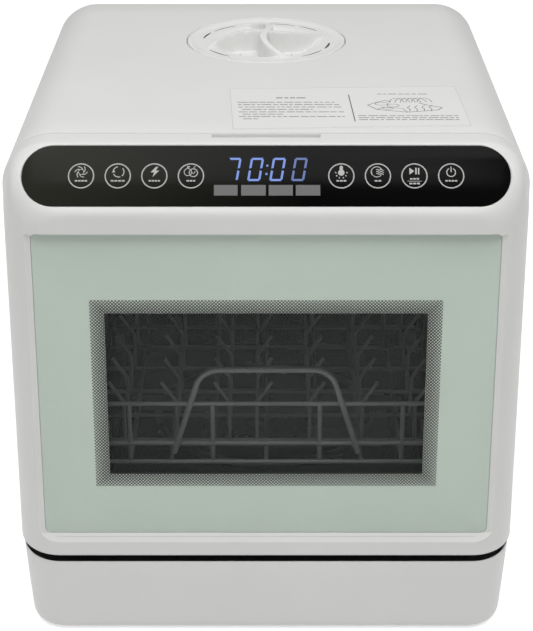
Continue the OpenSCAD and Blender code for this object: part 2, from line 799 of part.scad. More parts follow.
module water_tank() {
    wall = 2;
    z0 = deck_z + deck_t;
    color("#c9cfd0", 0.7) difference() {
        translate([0, 0, z0]) linear_extrude(tank_top_z - z0 - wall)
            polygon(round_rect([-tank_w / 2, tank_y], [tank_w / 2, tank_y + tank_d], 10));
        translate([0, 0, z0 + wall]) linear_extrude(tank_top_z - z0)
            polygon(round_rect([-tank_w / 2 + wall, tank_y + wall],
                [tank_w / 2 - wall, tank_y + tank_d - wall], 8));
        translate([-80, tank_mid_y, z0 - 1]) cylinder(h = 5, r = 5);
    }
}

// Lid welded on the tank, with the hole for the standpipe
module tank_lid() {
    color("#c9cfd0", 0.7) difference() {
        translate([0, 0, tank_top_z - 2]) linear_extrude(2)
            polygon(round_rect([-tank_w / 2, tank_y], [tank_w / 2, tank_y + tank_d], 10));
        translate([0, tank_mid_y, tank_top_z - 5]) cylinder(h = 10, r = 14.3);
    }
}

module transfer_pump() {
    z1 = deck_z + deck_t;
    color(dark) translate([-80, tank_mid_y, 0]) difference() {
        union() {
            translate([0, 0, base_z + shell_t]) cylinder(h = 46, r = 18);
            translate([0, 0, base_z + shell_t + 46]) cylinder(h = z1 - base_z - shell_t - 46, r = 8);
        }
        translate([0, 0, z1 - 20]) cylinder(h = 21, r = 5);
    }
}

// ---- Sump, pumps and filter ----

module sump() {
    color(dark) difference() {
        block([sump_x0, axis_y - sump_hd, sump_z], [sump_x1, axis_y + sump_hd, tub_z]);
        block([sump_x0 + sump_t, axis_y - sump_hd + sump_t, sump_z + sump_t],
            [sump_x1 - sump_t, axis_y + sump_hd - sump_t, tub_z + 1]);
        translate([0, axis_y, sump_z - 1]) cylinder(h = 5, r = 4);
        translate([sump_x1 - 5, axis_y, sump_z + 24]) rotate([0, 90, 0]) cylinder(h = 10, r = 10);
    }
}

module pump_volute() {
    spig_r = spigot_d / 2;
    shoulder_z = arm_z - seat_gap;
    color(trim_grey) translate([0, axis_y, 0]) rotate_extrude() polygon([
        [4, volute_z], [volute_r, volute_z], [volute_r, volute_z + volute_h],
        [spig_r + 3, volute_z + volute_h], [spig_r + 3, shoulder_z], [spig_r, shoulder_z],
        [spig_r, arm_z + arm_h - 2], [spig_r - 2.5, arm_z + arm_h - 2],
        [spig_r - 2.5, volute_z + volute_h - 2.5], [volute_r - 2.5, volute_z + volute_h - 2.5],
        [volute_r - 2.5, volute_z + 2.5], [4, volute_z + 2.5]]);
}

module wash_motor() {
    color(steel) translate([0, axis_y, base_z + shell_t]) difference() {
        cylinder(h = sump_z - base_z - shell_t, r = 33);
        translate([0, 0, 10]) cylinder(h = 80, r = 3 + run_gap);
    }
}

module wash_impeller() {
    z0 = volute_z + 4;
    color("#d8d6cc") translate([0, axis_y, 0]) {
        translate([0, 0, base_z + shell_t + 12]) cylinder(h = z0 - base_z - shell_t - 12, r = 3);
        translate([0, 0, z0]) cylinder(h = 2, r = 25);
        translate([0, 0, z0]) cylinder(h = 9, r = 6);
        for (a = [0 : 60 : 300]) rotate([0, 0, a]) translate([5, -1, z0]) cube([18, 2, 8]);
    }
}

module filter_plate() {
    z0 = floor_z;
    color(steel) difference() {
        translate([0, 0, z0]) linear_extrude(1.5) polygon(round_rect(
            [sump_x0 - 12, axis_y - sump_hd - 8], [sump_x1 + 8, axis_y + sump_hd + 8], 14));
        translate([0, axis_y, z0 - 1]) cylinder(h = 4, r = spigot_d / 2 + 3.5);
        translate([filter_x, axis_y, z0 - 1]) cylinder(h = 4, r = filter_d / 2 + 0.5);
        for (x = [-36 : 9 : 27], y = [-40.5 : 9 : 40.5])
            if (norm([x, y]) > spigot_d / 2 + 8)
                translate([x, axis_y + y, z0 - 1]) cylinder(h = 4, r = 1.8, $fn = 6);
    }
}

module filter_cup() {
    r = filter_d / 2;
    z0 = sump_z + sump_t + 0.3;
    z1 = floor_z + 1.8;
    color("#55585a") translate([filter_x, axis_y, 0]) difference() {
        union() {
            rotate_extrude() polygon([[0, z0], [r - 4, z0], [r, z1], [r + 4, z1], [r + 4, z1 + 2],
                [r - 2.5, z1 + 2], [r - 6.5, z0 + 2.5], [0, z0 + 2.5]]);
            block([-r + 2, -2, z1 - 12], [r - 2, 2, z1 + 2]);
        }
        for (a = [0 : 30 : 330], z = [z0 + 8 : 9 : z1 - 12])
            rotate([0, 0, a]) translate([r - 12, 0, z]) rotate([0, 90, 0]) cylinder(h = 16, r = 2.4, $fn = 6);
    }
}

drain_z = sump_z + 24;

module drain_pump() {
    x0 = sump_x1;
    color(dark) translate([x0, axis_y, drain_z]) rotate([0, 90, 0]) difference() {
        union() {
            cylinder(h = 18, r = 20);
            translate([0, 0, 18]) cylinder(h = 36, r = 16);
            translate([-14, 0, 9]) rotate([-90, 0, 0]) cylinder(h = 34, r = 6);
        }
        translate([0, 0, -1]) cylinder(h = 15, r = 17);
        translate([0, 0, 13]) cylinder(h = 20, r = 2 + run_gap);
        translate([-14, 0, 9]) rotate([-90, 0, 0]) cylinder(h = 35, r = 4);
    }
}

module drain_impeller() {
    color("#d8d6cc") translate([sump_x1, axis_y, drain_z]) rotate([0, 90, 0]) {
        translate([0, 0, 11]) cylinder(h = 2, r = 14);
        translate([0, 0, 13]) cylinder(h = 14, r = 2);
        for (a = [0 : 90 : 270]) rotate([0, 0, a]) translate([0, -1, 3]) cube([13, 2, 9]);
    }
}

module drain_outlet() {
    x = outlet_x;
    color(trim_grey) translate([x, 0, fitting_z]) rotate([-90, 0, 0]) difference() {
        union() {
            translate([0, 0, tank_y + tank_d + 0.3]) cylinder(h = panel_y - tank_y - tank_d - 0.3, r = 14);
            translate([0, 0, panel_y - 1]) cylinder(h = rear_y + rear_reach - panel_y + 1, r = 10);
        }
        translate([0, 0, panel_y - 5]) cylinder(h = 40, r = 7);
    }
}

module inlet_valve() {
    color(trim_grey) translate([inlet_x, 0, fitting_z]) rotate([-90, 0, 0]) difference() {
        union() {
            translate([0, 0, tank_y + tank_d + 0.3]) cylinder(h = panel_y - tank_y - tank_d - 0.3, r = 17);
            translate([0, 0, panel_y - 1]) cylinder(h = rear_y + rear_reach - panel_y + 1, r = 14);
        }
        translate([0, 0, panel_y - 1]) cylinder(h = 40, r = 10.5);
    }
}

module cord_gland() {
    color(dark) translate([gland_x, 0, fitting_z]) rotate([-90, 0, 0]) difference() {
        union() {
            translate([0, 0, panel_y - 4]) cylinder(h = 4, r = 11);
            translate([0, 0, panel_y - 1]) cylinder(h = rear_y + 5 - panel_y + 1, r = 8);
        }
        translate([0, 0, panel_y - 6]) cylinder(h = 40, r = 4.5);
    }
}

module heater_ring() {
    z = floor_z + 5.5;
    color(steel) translate([0, axis_y, 0]) {
        translate([0, 0, z]) rotate([0, 0, heater_ends[1]])
            rotate_extrude(angle = 360 + heater_ends[0] - heater_ends[1], $fn = 96)
                translate([heater_r, 0]) circle(r = 3, $fn = 16);
        for (a = [80, 200, 310]) rotate([0, 0, a]) translate([heater_r, 0, floor_z]) cylinder(h = 3, r = 5);
        for (a = heater_ends) rotate([0, 0, a]) translate([heater_r, 0, tub_z - 8]) cylinder(h = 19, r = 4.5);
    }
}

module float_bell() {
    color("#d8d6cc") translate([float_x, float_y, 0]) {
        translate([0, 0, tub_z - 14]) cylinder(h = floor_z + 4 - tub_z + 14, r = 3);
        translate([0, 0, floor_z + 0.3]) cylinder(h = 8, r = 12);
    }
}

module spray_arm() {
    color("#b7b9b6") translate([0, axis_y, arm_z]) difference() {
        union() {
            cylinder(h = arm_h, r = 18);
            linear_extrude(arm_h - 1) polygon(rounded([[-spray_r, -9], [0, -17], [spray_r, -9],
                [spray_r, 9], [0, 17], [-spray_r, 9]], [7, 30, 7, 7, 30, 7]));
        }
        translate([0, 0, -1]) cylinder(h = arm_h + 2, r = spigot_d / 2 + run_gap);
        for (s = [-1, 1], x = [34 : 20 : spray_r - 10])
            translate([s * x, s * ((x - 34) / 20 - 2), arm_h - 3]) cylinder(h = 5, r = 1.8);
    }
}

// ---- On top of the tub ----

module interior_lamp() {
    color("#f3f2e8") translate([0, lamp_y, tub_top_z - 3]) {
        cylinder(h = 3, r = 12);
        translate([0, 0, 3]) cylinder(h = 6, r = 15);
    }
}

module fan_casing() {
    color(dark) translate([fan_x, fan_y, tub_top_z]) difference() {
        cylinder(h = 30, r = 38);
        translate([0, 0, 2.5]) cylinder(h = 24, r = 35.5);
        translate([0, 0, -1]) cylinder(h = 5, r = 17);
        translate([0, 0, 20]) for (a = [0 : 45 : 315]) rotate([0, 0, a]) translate([20, 0, 0])
            cylinder(h = 12, r = 6);
    }
}

module fan_wheel() {
    color("#d8d6cc") translate([fan_x, fan_y, tub_top_z + 2.5]) {
        translate([0, 0, 18]) cylinder(h = 5.7, r = 8);
        difference() {
            translate([0, 0, 4]) cylinder(h = 15, r = 33);
            translate([0, 0, 2]) cylinder(h = 14, r = 29);
            for (a = [0 : 30 : 330]) rotate([0, 0, a]) translate([27, -1.5, 6]) cube([10, 3, 8]);
        }
    }
}

board_x1 = tub_hw - 6;
board_x0 = board_x1 - 100;
board_y0 = tub_front_y + 34;
board_y1 = board_y0 + 120;

module board_box() {
    color(dark) difference() {
        block([board_x0, board_y0, tub_top_z], [board_x1, board_y1, tub_top_z + 24]);
        block([board_x0 + 2, board_y0 + 2, tub_top_z + 2], [board_x1 - 2, board_y1 - 2, tub_top_z + 30]);
    }
    color(dark) for (x = [board_x0 + 8, board_x1 - 8], y = [board_y0 + 8, board_y1 - 8])
        translate([x, y, tub_top_z + 1]) cylinder(h = 5, r = 3.5);
}

module power_board() {
    color("#2f6b45") block([board_x0 + 3, board_y0 + 3, tub_top_z + 6], [board_x1 - 3, board_y1 - 3, tub_top_z + 7.6]);
    color(dark) {
        block([board_x0 + 14, board_y0 + 16, tub_top_z + 7.6], [board_x0 + 40, board_y0 + 50, tub_top_z + 21]);
        block([board_x1 - 42, board_y0 + 20, tub_top_z + 7.6], [board_x1 - 14, board_y0 + 38, tub_top_z + 19]);
        translate([board_x1 - 30, board_y1 - 34, tub_top_z + 7.6]) cylinder(h = 13, r = 9);
    }
}

// ---- Rack ----

module rack_frame() {
    ring = [[-rack_hw, rack_front_y], [rack_hw, rack_front_y], [rack_hw, rack_rear_y], [-rack_hw, rack_rear_y]];
    color("#5a5d5f") {
        for (z = [rack_z, rail_low_z, rail_z], i = [0 : 3])
            let (a = ring[i], b = ring[(i + 1) % 4], e = unit(b - a) * wire_flat)
                wire([a[0] - e[0], a[1] - e[1], z], [b[0] + e[0], b[1] + e[1], z]);
        for (x = upright_x) {
            wire([x, rack_front_y, rack_z - wire_flat], [x, rack_front_y, rail_z + wire_r]);
            wire([x, rack_rear_y, rack_z - wire_flat], [x, rack_rear_y, rail_z + wire_r]);
            wire([x, rack_front_y, rack_z], [x, rack_rear_y, rack_z]);
        }
        for (x = [-82, 0, 82]) wire([x, rack_front_y, rack_z], [x, rack_rear_y, rack_z]);
        for (x = [-rack_hw, rack_hw], y = [row_y - 12, row_y + 1.2 * row_pitch, row_y + 2.6 * row_pitch,
            row_y + 3.9 * row_pitch, rack_rear_y])
            wire([x, y, rack_z], [x, y, rail_z]);
        wire([-rack_hw, rack_front_y, rack_z], [-rack_hw, rack_front_y, rail_z]);
        wire([rack_hw, rack_front_y, rack_z], [rack_hw, rack_front_y, rail_z]);
    }
}

module rack_tines() {
    z0 = rack_z + 2 * wire_flat;
    bend_z = rack_z + 41;
    tip_z = bend_z + 20;
    tine_r = 1.75;
    left_x = [for (k = [0 : 2]) -32 - k * tine_pitch];
    right_x = [for (k = [0 : 2]) -8 + k * tine_pitch];
    color("#5a5d5f") for (k = [0 : row_count - 1]) translate([0, row_y + k * row_pitch, 0]) {
        wire([-rack_hw + wire_flat + 0.3, 0, z0], [rack_hw - wire_flat - 0.3, 0, z0]);
        for (p = concat([for (x = left_x) [x, -13]], [for (x = right_x) [x, 13]], [[-8 + 3 * tine_pitch, 13]])) {
            wire([p[0], 0, z0], [p[0], 0, bend_z], tine_r);
            wire([p[0], 0, bend_z - 0.6], [p[0] + p[1], 0, tip_z], tine_r);
        }
    }
}

module rack_handle() {
    r = 2.5;
    foot_x = 79;
    lean = 17;
    bend_r = 20;
    bend_steps = 5;
    z0 = rail_low_z - 7;
    z1 = rack_z + handle_rise;
    y = rack_front_y - wire_flat - r * cos(22.5);
    bend_z = z1 - bend_r;
    bend_x = foot_x - (bend_z + bend_r * sin(lean) - z0) * tan(lean) - bend_r * cos(lean);
    bend = [for (k = [0 : bend_steps])
        let (a = lean + (90 - lean) * k / bend_steps)
        [bend_x + bend_r * cos(a), y, bend_z + bend_r * sin(a)]];
    color("#5a5d5f") {
        wire([-bend_x - 0.8, y, z1], [bend_x + 0.8, y, z1], r);
        both_sides() {
            wire([foot_x, y, z0], bend[0], r);
            for (k = [1 : bend_steps]) let (step = unit(bend[k] - bend[k - 1]) * 0.4)
                wire(bend[k - 1] - step, bend[k] + step, r);
        }
    }
}

module roller_brackets() {
    x1 = rack_hw - wire_flat;
    x0 = x1 - 4;
    color("#3a3d3f") for (y = [front_roller_y, rear_roller_y]) both_sides() {
        along_x(x0, x1) translate([y, 0]) polygon(rounded([[-6, roller_z - 6], [6, roller_z - 6],
            [11, rail_low_z + 3], [-11, rail_low_z + 3]], [5, 5, 2, 2]));
        rod([x0 - roller_w - 0.5, y, roller_z], [x0 + 1, y, roller_z], 3, 32);
    }
}

module roller_pair(y) {
    color("#d8d6cc") both_sides() translate([roller_x - roller_w / 2, y, roller_z]) rotate([0, 90, 0])
        difference() {
            cylinder(h = roller_w, d = roller_d);
            translate([0, 0, -1]) cylinder(h = roller_w + 2, r = 3 + run_gap, $fn = 32);
            translate([0, 0, -1]) rotate_extrude() polygon([[5, 0], [roller_d / 2 - 2, 0],
                [roller_d / 2 - 2, 2.5], [5, 2.5]]);
        }
}

module front_rollers() {
    roller_pair(front_roller_y);
}

module rear_rollers() {
    roller_pair(rear_roller_y);
}

base_tray();
base_deck();
feet();
housing();
rear_panel();
rear_screws();
tips_label();
tub();
front_sill();
door_seal();
door_frame();
door_glass();
glass_print();
inner_glass();
door_liner();
control_glass();
touch_board();
display_module();
latch_hook();
latch_catch();
hinge_arms();
hinge_pins();
fill_neck();
fill_duct();
fill_cap();
cap_ridges();
cap_seal();
water_tank();
tank_lid();
transfer_pump();
sump();
pump_volute();
wash_motor();
wash_impeller();
filter_plate();
filter_cup();
drain_pump();
drain_impeller();
drain_outlet();
heater_ring();
float_bell();
spray_arm();
interior_lamp();
fan_casing();
fan_wheel();
power_board();
board_box();
inlet_valve();
cord_gland();
rack_frame();
rack_tines();
rack_handle();
roller_brackets();
front_rollers();
rear_rollers();
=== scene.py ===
"""Countertop dishwasher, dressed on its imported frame. Front faces -Y, up is +Z, metres.

Sizes below are in millimetres, as on the maker's drawing, and become metres in make_piece().
"""

import json
import math

import bmesh
import bpy
import numpy as np
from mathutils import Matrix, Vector


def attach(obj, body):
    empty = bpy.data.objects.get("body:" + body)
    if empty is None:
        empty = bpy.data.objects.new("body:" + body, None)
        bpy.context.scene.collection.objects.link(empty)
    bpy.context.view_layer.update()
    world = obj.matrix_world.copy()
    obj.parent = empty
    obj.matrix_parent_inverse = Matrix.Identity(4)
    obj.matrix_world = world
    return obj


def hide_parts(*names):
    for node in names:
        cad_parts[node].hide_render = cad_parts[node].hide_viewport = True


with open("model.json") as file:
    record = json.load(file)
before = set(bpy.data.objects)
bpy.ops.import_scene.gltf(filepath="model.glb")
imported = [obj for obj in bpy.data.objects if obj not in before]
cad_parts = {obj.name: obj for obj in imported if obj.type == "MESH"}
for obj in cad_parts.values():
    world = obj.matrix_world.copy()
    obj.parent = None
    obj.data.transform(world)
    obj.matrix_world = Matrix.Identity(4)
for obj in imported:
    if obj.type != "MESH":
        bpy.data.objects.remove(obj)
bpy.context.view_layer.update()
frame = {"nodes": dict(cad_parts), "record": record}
nodes = frame["nodes"]

# ---- Sizes of the outer form, in millimetres ----

FRONT_Y, SEAM_Y, REAR_Y = -229.0, -169.0, 221.0
BASE_Z, RIM_Z, BODY_Z, TOP_Z = 2.5, 71.0, 78.0, 431.0
HALF_W = 210.0
CORNER_W, CORNER_D = 37.0, 48.0
LEAN_Y = FRONT_Y + CORNER_D
SIDE_LEAN = math.tan(math.radians(0.9))
BASE_LEAN = math.tan(math.radians(3.9))
TOP_R = 40.0
SHELL = 3.0
FACET_Z = 384.5
TILT = math.radians(38)
PANEL_MID = 31.9
PANEL_W, PANEL_H = 382.0, 50.0
GLASS_W, GLASS_Z, GLASS_TOP = 369.0, 97.5, 368.0
GLASS_Y = FRONT_Y + 5
WINDOW_W, WINDOW_Z, WINDOW_H = 258.0, 153.5, 145.0
HINGE_Y, HINGE_Z = -214.0, 93.0
CAP_Y, CAP_R = 96.0, 72.25


# ---- Mesh helpers ----

def make_piece(name, verts, faces, material, sharp=30.0, smooth=True):
    """A closed mesh from points in millimetres."""
    mesh = bpy.data.meshes.new(name)
    mesh.from_pydata([tuple(float(c) * 0.001 for c in v) for v in verts], [], [tuple(f) for f in faces])
    mesh.validate()
    mesh.materials.append(material)
    piece = bpy.data.objects.new(name, mesh)
    bpy.context.scene.collection.objects.link(piece)
    finish_shading(piece, sharp, smooth)
    return piece


def finish_shading(piece, sharp=30.0, smooth=True):
    mesh = piece.data
    mesh.update()
    if smooth:
        mesh.shade_smooth()
        mesh.set_sharp_from_angle(angle=math.radians(sharp))


def add_mesh(parts, verts, faces):
    """Adds one more shape to a list of shapes that become a single piece."""
    start = sum(len(p[0]) for p in parts)
    parts.append((list(verts), [tuple(start + i for i in f) for f in faces]))


def join_shapes(name, parts, material, sharp=30.0):
    verts = [v for p in parts for v in p[0]]
    faces = [f for p in parts for f in p[1]]
    return make_piece(name, verts, faces, material, sharp)


def place_joined(name, parts, material, body, slot):
    place(turn_outwards(join_shapes(name, parts, material)), body, slot)


def loft(rings, closed_ends=True, loop=False):
    """Quads between equal rings of points. With loop the last ring meets the first."""
    n = len(rings[0])
    verts = [p for ring in rings for p in ring]
    faces = []
    last = len(rings) if loop else len(rings) - 1
    for i in range(last):
        a, b = i * n, ((i + 1) % len(rings)) * n
        for j in range(n):
            k = (j + 1) % n
            faces.append((a + j, a + k, b + k, b + j))
    if closed_ends and not loop:
        faces.append(tuple(range(n - 1, -1, -1)))
        faces.append(tuple((len(rings) - 1) * n + j for j in range(n)))
    return verts, faces


def turn_outwards(piece):
    """Makes every closed shell of a piece face outwards."""
    bm = bmesh.new()
    bm.from_mesh(piece.data)
    bmesh.ops.recalc_face_normals(bm, faces=bm.faces)
    bm.to_mesh(piece.data)
    bm.free()
    return piece


def apply_modifiers(piece):
    """Turns a piece with live modifiers into a plain mesh."""
    graph = bpy.context.evaluated_depsgraph_get()
    mesh = bpy.data.meshes.new_from_object(piece.evaluated_get(graph))
    piece.modifiers.clear()
    piece.data = mesh
    return piece


def carve(piece, cutters, how="DIFFERENCE"):
    """Cuts shapes out of a piece, or joins them on, one after another."""
    for cutter in cutters:
        mod = piece.modifiers.new("carve", "BOOLEAN")
        mod.object = cutter
        mod.operation = how
        mod.solver = "EXACT"
        apply_modifiers(piece)
        bpy.data.objects.remove(cutter)
    return piece


def cutter(rings):
    verts, faces = loft(rings)
    return turn_outwards(make_piece("cutter", verts, faces, COVER, smooth=False))


def round_rect(x0, y0, x1, y1, r, steps=8):
    pts = []
    corners = ((x1 - r, y0 + r, -90), (x1 - r, y1 - r, 0), (x0 + r, y1 - r, 90), (x0 + r, y0 + r, 180))
    for cx, cy, a in corners:
        for k in range(steps + 1):
            t = math.radians(a + 90 * k / steps)
            pts.append((cx + r * math.cos(t), cy + r * math.sin(t)))
    return pts


def pill_outline(w, h, steps=28):
    return round_rect(-w / 2, -h / 2, w / 2, h / 2, h / 2 - 0.001, steps)


def on_facet(u, v, out=0.0):
    """A point on the sloping control face: u across, v up the face, out of it."""
    s, c = math.sin(TILT), math.cos(TILT)
    y0, z0 = FRONT_Y + PANEL_MID * s, FACET_Z + PANEL_MID * c
    return (u, y0 + v * s - out * c, z0 + v * c + out * s)


def facet_rings(outlines):
    """Rings on the control face from (outline, height out of it) pairs."""
    return [[on_facet(u, v, out) for u, v in pts] for pts, out in outlines]


def pill_rings(*steps):
    """Rings of the control glass's outline from (growth, height out of the face) pairs."""
    return facet_rings([(pill_outline(PANEL_W + grow, PANEL_H + grow), out) for grow, out in steps])


def front_rings(outlines):
    """Rings in upright planes from (outline in x and z, y) pairs."""
    return [[(x, y, z) for x, z in pts] for pts, y in outlines]


def flat_rings(outlines):
    return [[(x, y, z) for x, y in pts] for pts, z in outlines]


# ---- Materials ----

def new_material(name):
    mat = bpy.data.materials.new(name)
    mat.use_nodes = True
    return mat, mat.node_tree.nodes, mat.node_tree.links, mat.node_tree.nodes["Principled BSDF"]


def math_node(n, l, op, a, b=None, c=None):
    m = n.new("ShaderNodeMath")
    m.operation = op
    for i, v in enumerate((a, b, c)):
        if v is None:
            continue
        if isinstance(v, (int, float)):
            m.inputs[i].default_value = v
        else:
            l.new(v, m.inputs[i])
    return m.outputs[0]


def noise(n, l, scale, detail=2.0, squeeze=None, turn=0.0):
    """Noise on object coordinates, squeezed and turned where a finish runs one way."""
    t, source = n.new("ShaderNodeTexNoise"), n.new("ShaderNodeTexCoord").outputs["Object"]
    t.inputs["Scale"].default_value = scale
    t.inputs["Detail"].default_value = detail
    if squeeze:
        mp = n.new("ShaderNodeMapping")
        mp.inputs["Rotation"].default_value = (0, turn, 0)
        mp.inputs["Scale"].default_value = squeeze
        l.new(source, mp.inputs["Vector"])
        source = mp.outputs["Vector"]
    l.new(source, t.inputs["Vector"])
    return t.outputs["Fac"]


def tone(n, l, mask, low, high):
    """A colour between two others."""
    mix = n.new("ShaderNodeMix")
    mix.data_type = "RGBA"
    for socket, colour in ((6, low), (7, high)):
        if isinstance(colour, tuple):
            mix.inputs[socket].default_value = (*colour, 1)
        else:
            l.new(colour, mix.inputs[socket])
    l.new(mask, mix.inputs[0])
    return mix.outputs[2]


def ranged(n, l, value, low, high, start=0.0, end=1.0):
    """A value carried from start..end to low..high."""
    m = n.new("ShaderNodeMapRange")
    for socket, v in (("From Min", start), ("From Max", end), ("To Min", low), ("To Max", high)):
        m.inputs[socket].default_value = v
    l.new(value, m.inputs["Value"])
    return m.outputs["Result"]


def relief_on(n, l, bsdf, height, strength, depth):
    bump = n.new("ShaderNodeBump")
    bump.inputs["Strength"].default_value = strength
    bump.inputs["Distance"].default_value = depth
    l.new(height, bump.inputs["Height"])
    l.new(bump.outputs["Normal"], bsdf.inputs["Normal"])


def grain_group():
    """Moulded-plastic grain on object coordinates: a soft tone mask and a fine height."""
    g = bpy.data.node_groups.new("moulded_grain", "ShaderNodeTree")
    for n, value in (("Grain Size", 0.0008), ("Cloud Size", 0.08)):
        size = g.interface.new_socket(name=n, in_out="INPUT", socket_type="NodeSocketFloat")
        size.default_value = value
    for n in ("Tone", "Height"):
        g.interface.new_socket(name=n, in_out="OUTPUT", socket_type="NodeSocketFloat")
    gn, gl = g.nodes, g.links
    gi, go = gn.new("NodeGroupInput"), gn.new("NodeGroupOutput")
    tc = gn.new("ShaderNodeTexCoord")

    def layer(size, detail, rough):
        t = gn.new("ShaderNodeTexNoise")
        t.inputs["Detail"].default_value = detail
        t.inputs["Roughness"].default_value = rough
        gl.new(tc.outputs["Object"], t.inputs["Vector"])
        gl.new(math_node(gn, gl, "DIVIDE", 1.0, gi.outputs[size]), t.inputs["Scale"])
        return t.outputs["Fac"]

    fine, cloud = layer("Grain Size", 2.0, 0.5), layer("Cloud Size", 3.0, 0.55)
    share = 0.35
    both = math_node(gn, gl, "MULTIPLY_ADD", fine, share, cloud)
    gl.new(math_node(gn, gl, "SUBTRACT", both, share / 2), go.inputs["Tone"])
    gl.new(fine, go.inputs["Height"])
    return g


GRAIN = grain_group()


def plastic(name, dark, light, rough=0.45, rough_span=0.06, grain=0.0008, cloud=0.08, relief=0.05,
            specular=0.5, metallic=0.0):
    """Moulded plastic or painted sheet whose tone drifts between two near colours."""
    mat, n, l, bsdf = new_material(name)
    g = n.new("ShaderNodeGroup")
    g.node_tree = GRAIN
    g.inputs["Grain Size"].default_value = grain
    g.inputs["Cloud Size"].default_value = cloud
    height = g.outputs["Height"]
    l.new(tone(n, l, g.outputs["Tone"], dark, light), bsdf.inputs["Base Color"])
    l.new(ranged(n, l, height, rough - rough_span, rough + rough_span), bsdf.inputs["Roughness"])
    relief_on(n, l, bsdf, height, relief, 0.0003)
    bsdf.inputs["Specular IOR Level"].default_value = specular
    bsdf.inputs["Metallic"].default_value = metallic
    return mat


COVER = plastic("cover_plastic", (0.655, 0.655, 0.642), (0.70, 0.70, 0.688), rough=0.42, relief=0.04)
BASE_PLASTIC = plastic("base_plastic", (0.67, 0.67, 0.66), (0.71, 0.71, 0.70), rough=0.42, relief=0.04)
CAP_PLASTIC = plastic("cap_plastic", (0.69, 0.69, 0.678), (0.74, 0.74, 0.728), rough=0.36, relief=0.03)
# near-black plastic; the cap's slot strips also use it as painted shade
DARK = plastic("dark_plastic", (0.014, 0.014, 0.014), (0.020, 0.020, 0.020), rough=0.5, relief=0.12,
             specular=0.3)
GREY = plastic("grey_plastic", (0.23, 0.235, 0.23), (0.28, 0.285, 0.28), rough=0.5, relief=0.08)
NATURAL = plastic("natural_plastic", (0.60, 0.58, 0.52), (0.68, 0.66, 0.60), rough=0.4, relief=0.04)
TUB_PLASTIC = plastic("tub_plastic", (0.044, 0.045, 0.045), (0.054, 0.055, 0.055), rough=0.62, relief=0.03,
                      grain=0.0012, specular=0.35)
TANK_PLASTIC = plastic("tank_plastic", (0.52, 0.56, 0.57), (0.60, 0.64, 0.65), rough=0.32, relief=0.05)
RUBBER = plastic("soft_rubber", (0.02, 0.02, 0.02), (0.03, 0.03, 0.03), rough=0.7, relief=0.1, specular=0.3)
SEAL_RUBBER = plastic("seal_rubber", (0.13, 0.135, 0.135), (0.17, 0.175, 0.175), rough=0.66, relief=0.1,
                      specular=0.3)
ZINC = plastic("zinc_sheet", (0.46, 0.47, 0.48), (0.62, 0.63, 0.64), rough=0.42, rough_span=0.1, grain=0.006,
               cloud=0.02, relief=0.02, metallic=0.85)
CIRCUIT = plastic("circuit_board", (0.02, 0.10, 0.045), (0.03, 0.15, 0.07), rough=0.35, relief=0.1,
                  grain=0.0006, cloud=0.01)
LENS = plastic("lamp_lens", (0.80, 0.80, 0.76), (0.88, 0.88, 0.84), rough=0.25, relief=0.02)


def brushed_steel():
    """Steel with fine drawn lines round it."""
    mat, n, l, bsdf = new_material("steel")
    lines = noise(n, l, 1.0, 3, squeeze=(30, 30, 2400))
    l.new(tone(n, l, lines, (0.52, 0.53, 0.54), (0.66, 0.67, 0.68)), bsdf.inputs["Base Color"])
    l.new(ranged(n, l, lines, 0.22, 0.36), bsdf.inputs["Roughness"])
    bsdf.inputs["Metallic"].default_value = 1.0
    relief_on(n, l, bsdf, lines, 0.06, 0.0002)
    return mat


def coated_wire():
    """Dip-coated rack wire: satin, with slight runs of the coating."""
    mat, n, l, bsdf = new_material("coated_wire")
    runs = noise(n, l, 260)
    l.new(tone(n, l, runs, (0.40, 0.405, 0.40), (0.47, 0.475, 0.47)), bsdf.inputs["Base Color"])
    l.new(ranged(n, l, runs, 0.28, 0.4), bsdf.inputs["Roughness"])
    relief_on(n, l, bsdf, runs, 0.15, 0.0004)
    return mat


STEEL, WIRE = brushed_steel(), coated_wire()


def glass_print_material():
    """Pale sage print: it breaks into a fine check of clear dots round the window. The dots are coloured
    near-black, partly painted shade and partly the dark tub's colour seen through them.
    """
    mat, n, l, bsdf = new_material("glass_print")
    tc, xyz = n.new("ShaderNodeTexCoord"), n.new("ShaderNodeSeparateXYZ")
    l.new(tc.outputs["Object"], xyz.inputs[0])
    x, z = xyz.outputs["X"], xyz.outputs["Z"]
    mid_z = (WINDOW_Z + WINDOW_H / 2) * 0.001
    # how far outside the clear window, from 0 at its edge to 1 at the band's edge
    across = math_node(n, l, "SUBTRACT", math_node(n, l, "ABSOLUTE", x), (WINDOW_W / 2 - 1.0) * 0.001)
    upward = math_node(n, l, "ABSOLUTE", math_node(n, l, "SUBTRACT", z, mid_z))
    upward = math_node(n, l, "SUBTRACT", upward, (WINDOW_H / 2 - 1.0) * 0.001)
    far = math_node(n, l, "MAXIMUM", math_node(n, l, "MAXIMUM", across, 0.0),
                    math_node(n, l, "MAXIMUM", upward, 0.0))
    waves = [math_node(n, l, "COSINE", math_node(n, l, "MULTIPLY", c, 2 * math.pi / DOT_PITCH))
             for c in (x, z)]
    level = math_node(n, l, "MULTIPLY_ADD", math_node(n, l, "DIVIDE", far, BAND_W), 0.62, -0.62)
    dots = math_node(n, l, "GREATER_THAN", math_node(n, l, "MULTIPLY", *waves), level)
    dots = math_node(n, l, "MULTIPLY", dots, math_node(n, l, "LESS_THAN", far, BAND_W + 0.0002))
    sage = tone(n, l, noise(n, l, 14), PRINT_LOW, PRINT_HIGH)
    # the clear dots take a near-black colour: painted shade of the interior behind them, with the dark tub's
    # own colour
    l.new(tone(n, l, dots, sage, (0.022, 0.023, 0.022)), bsdf.inputs["Base Color"])
    bsdf.inputs["Roughness"].default_value = 0.45
    return mat


DOT_PITCH, BAND_W = 0.00275, 0.0125
PRINT_LOW, PRINT_HIGH = (0.515, 0.60, 0.53), (0.55, 0.635, 0.565)
PRINT = glass_print_material()


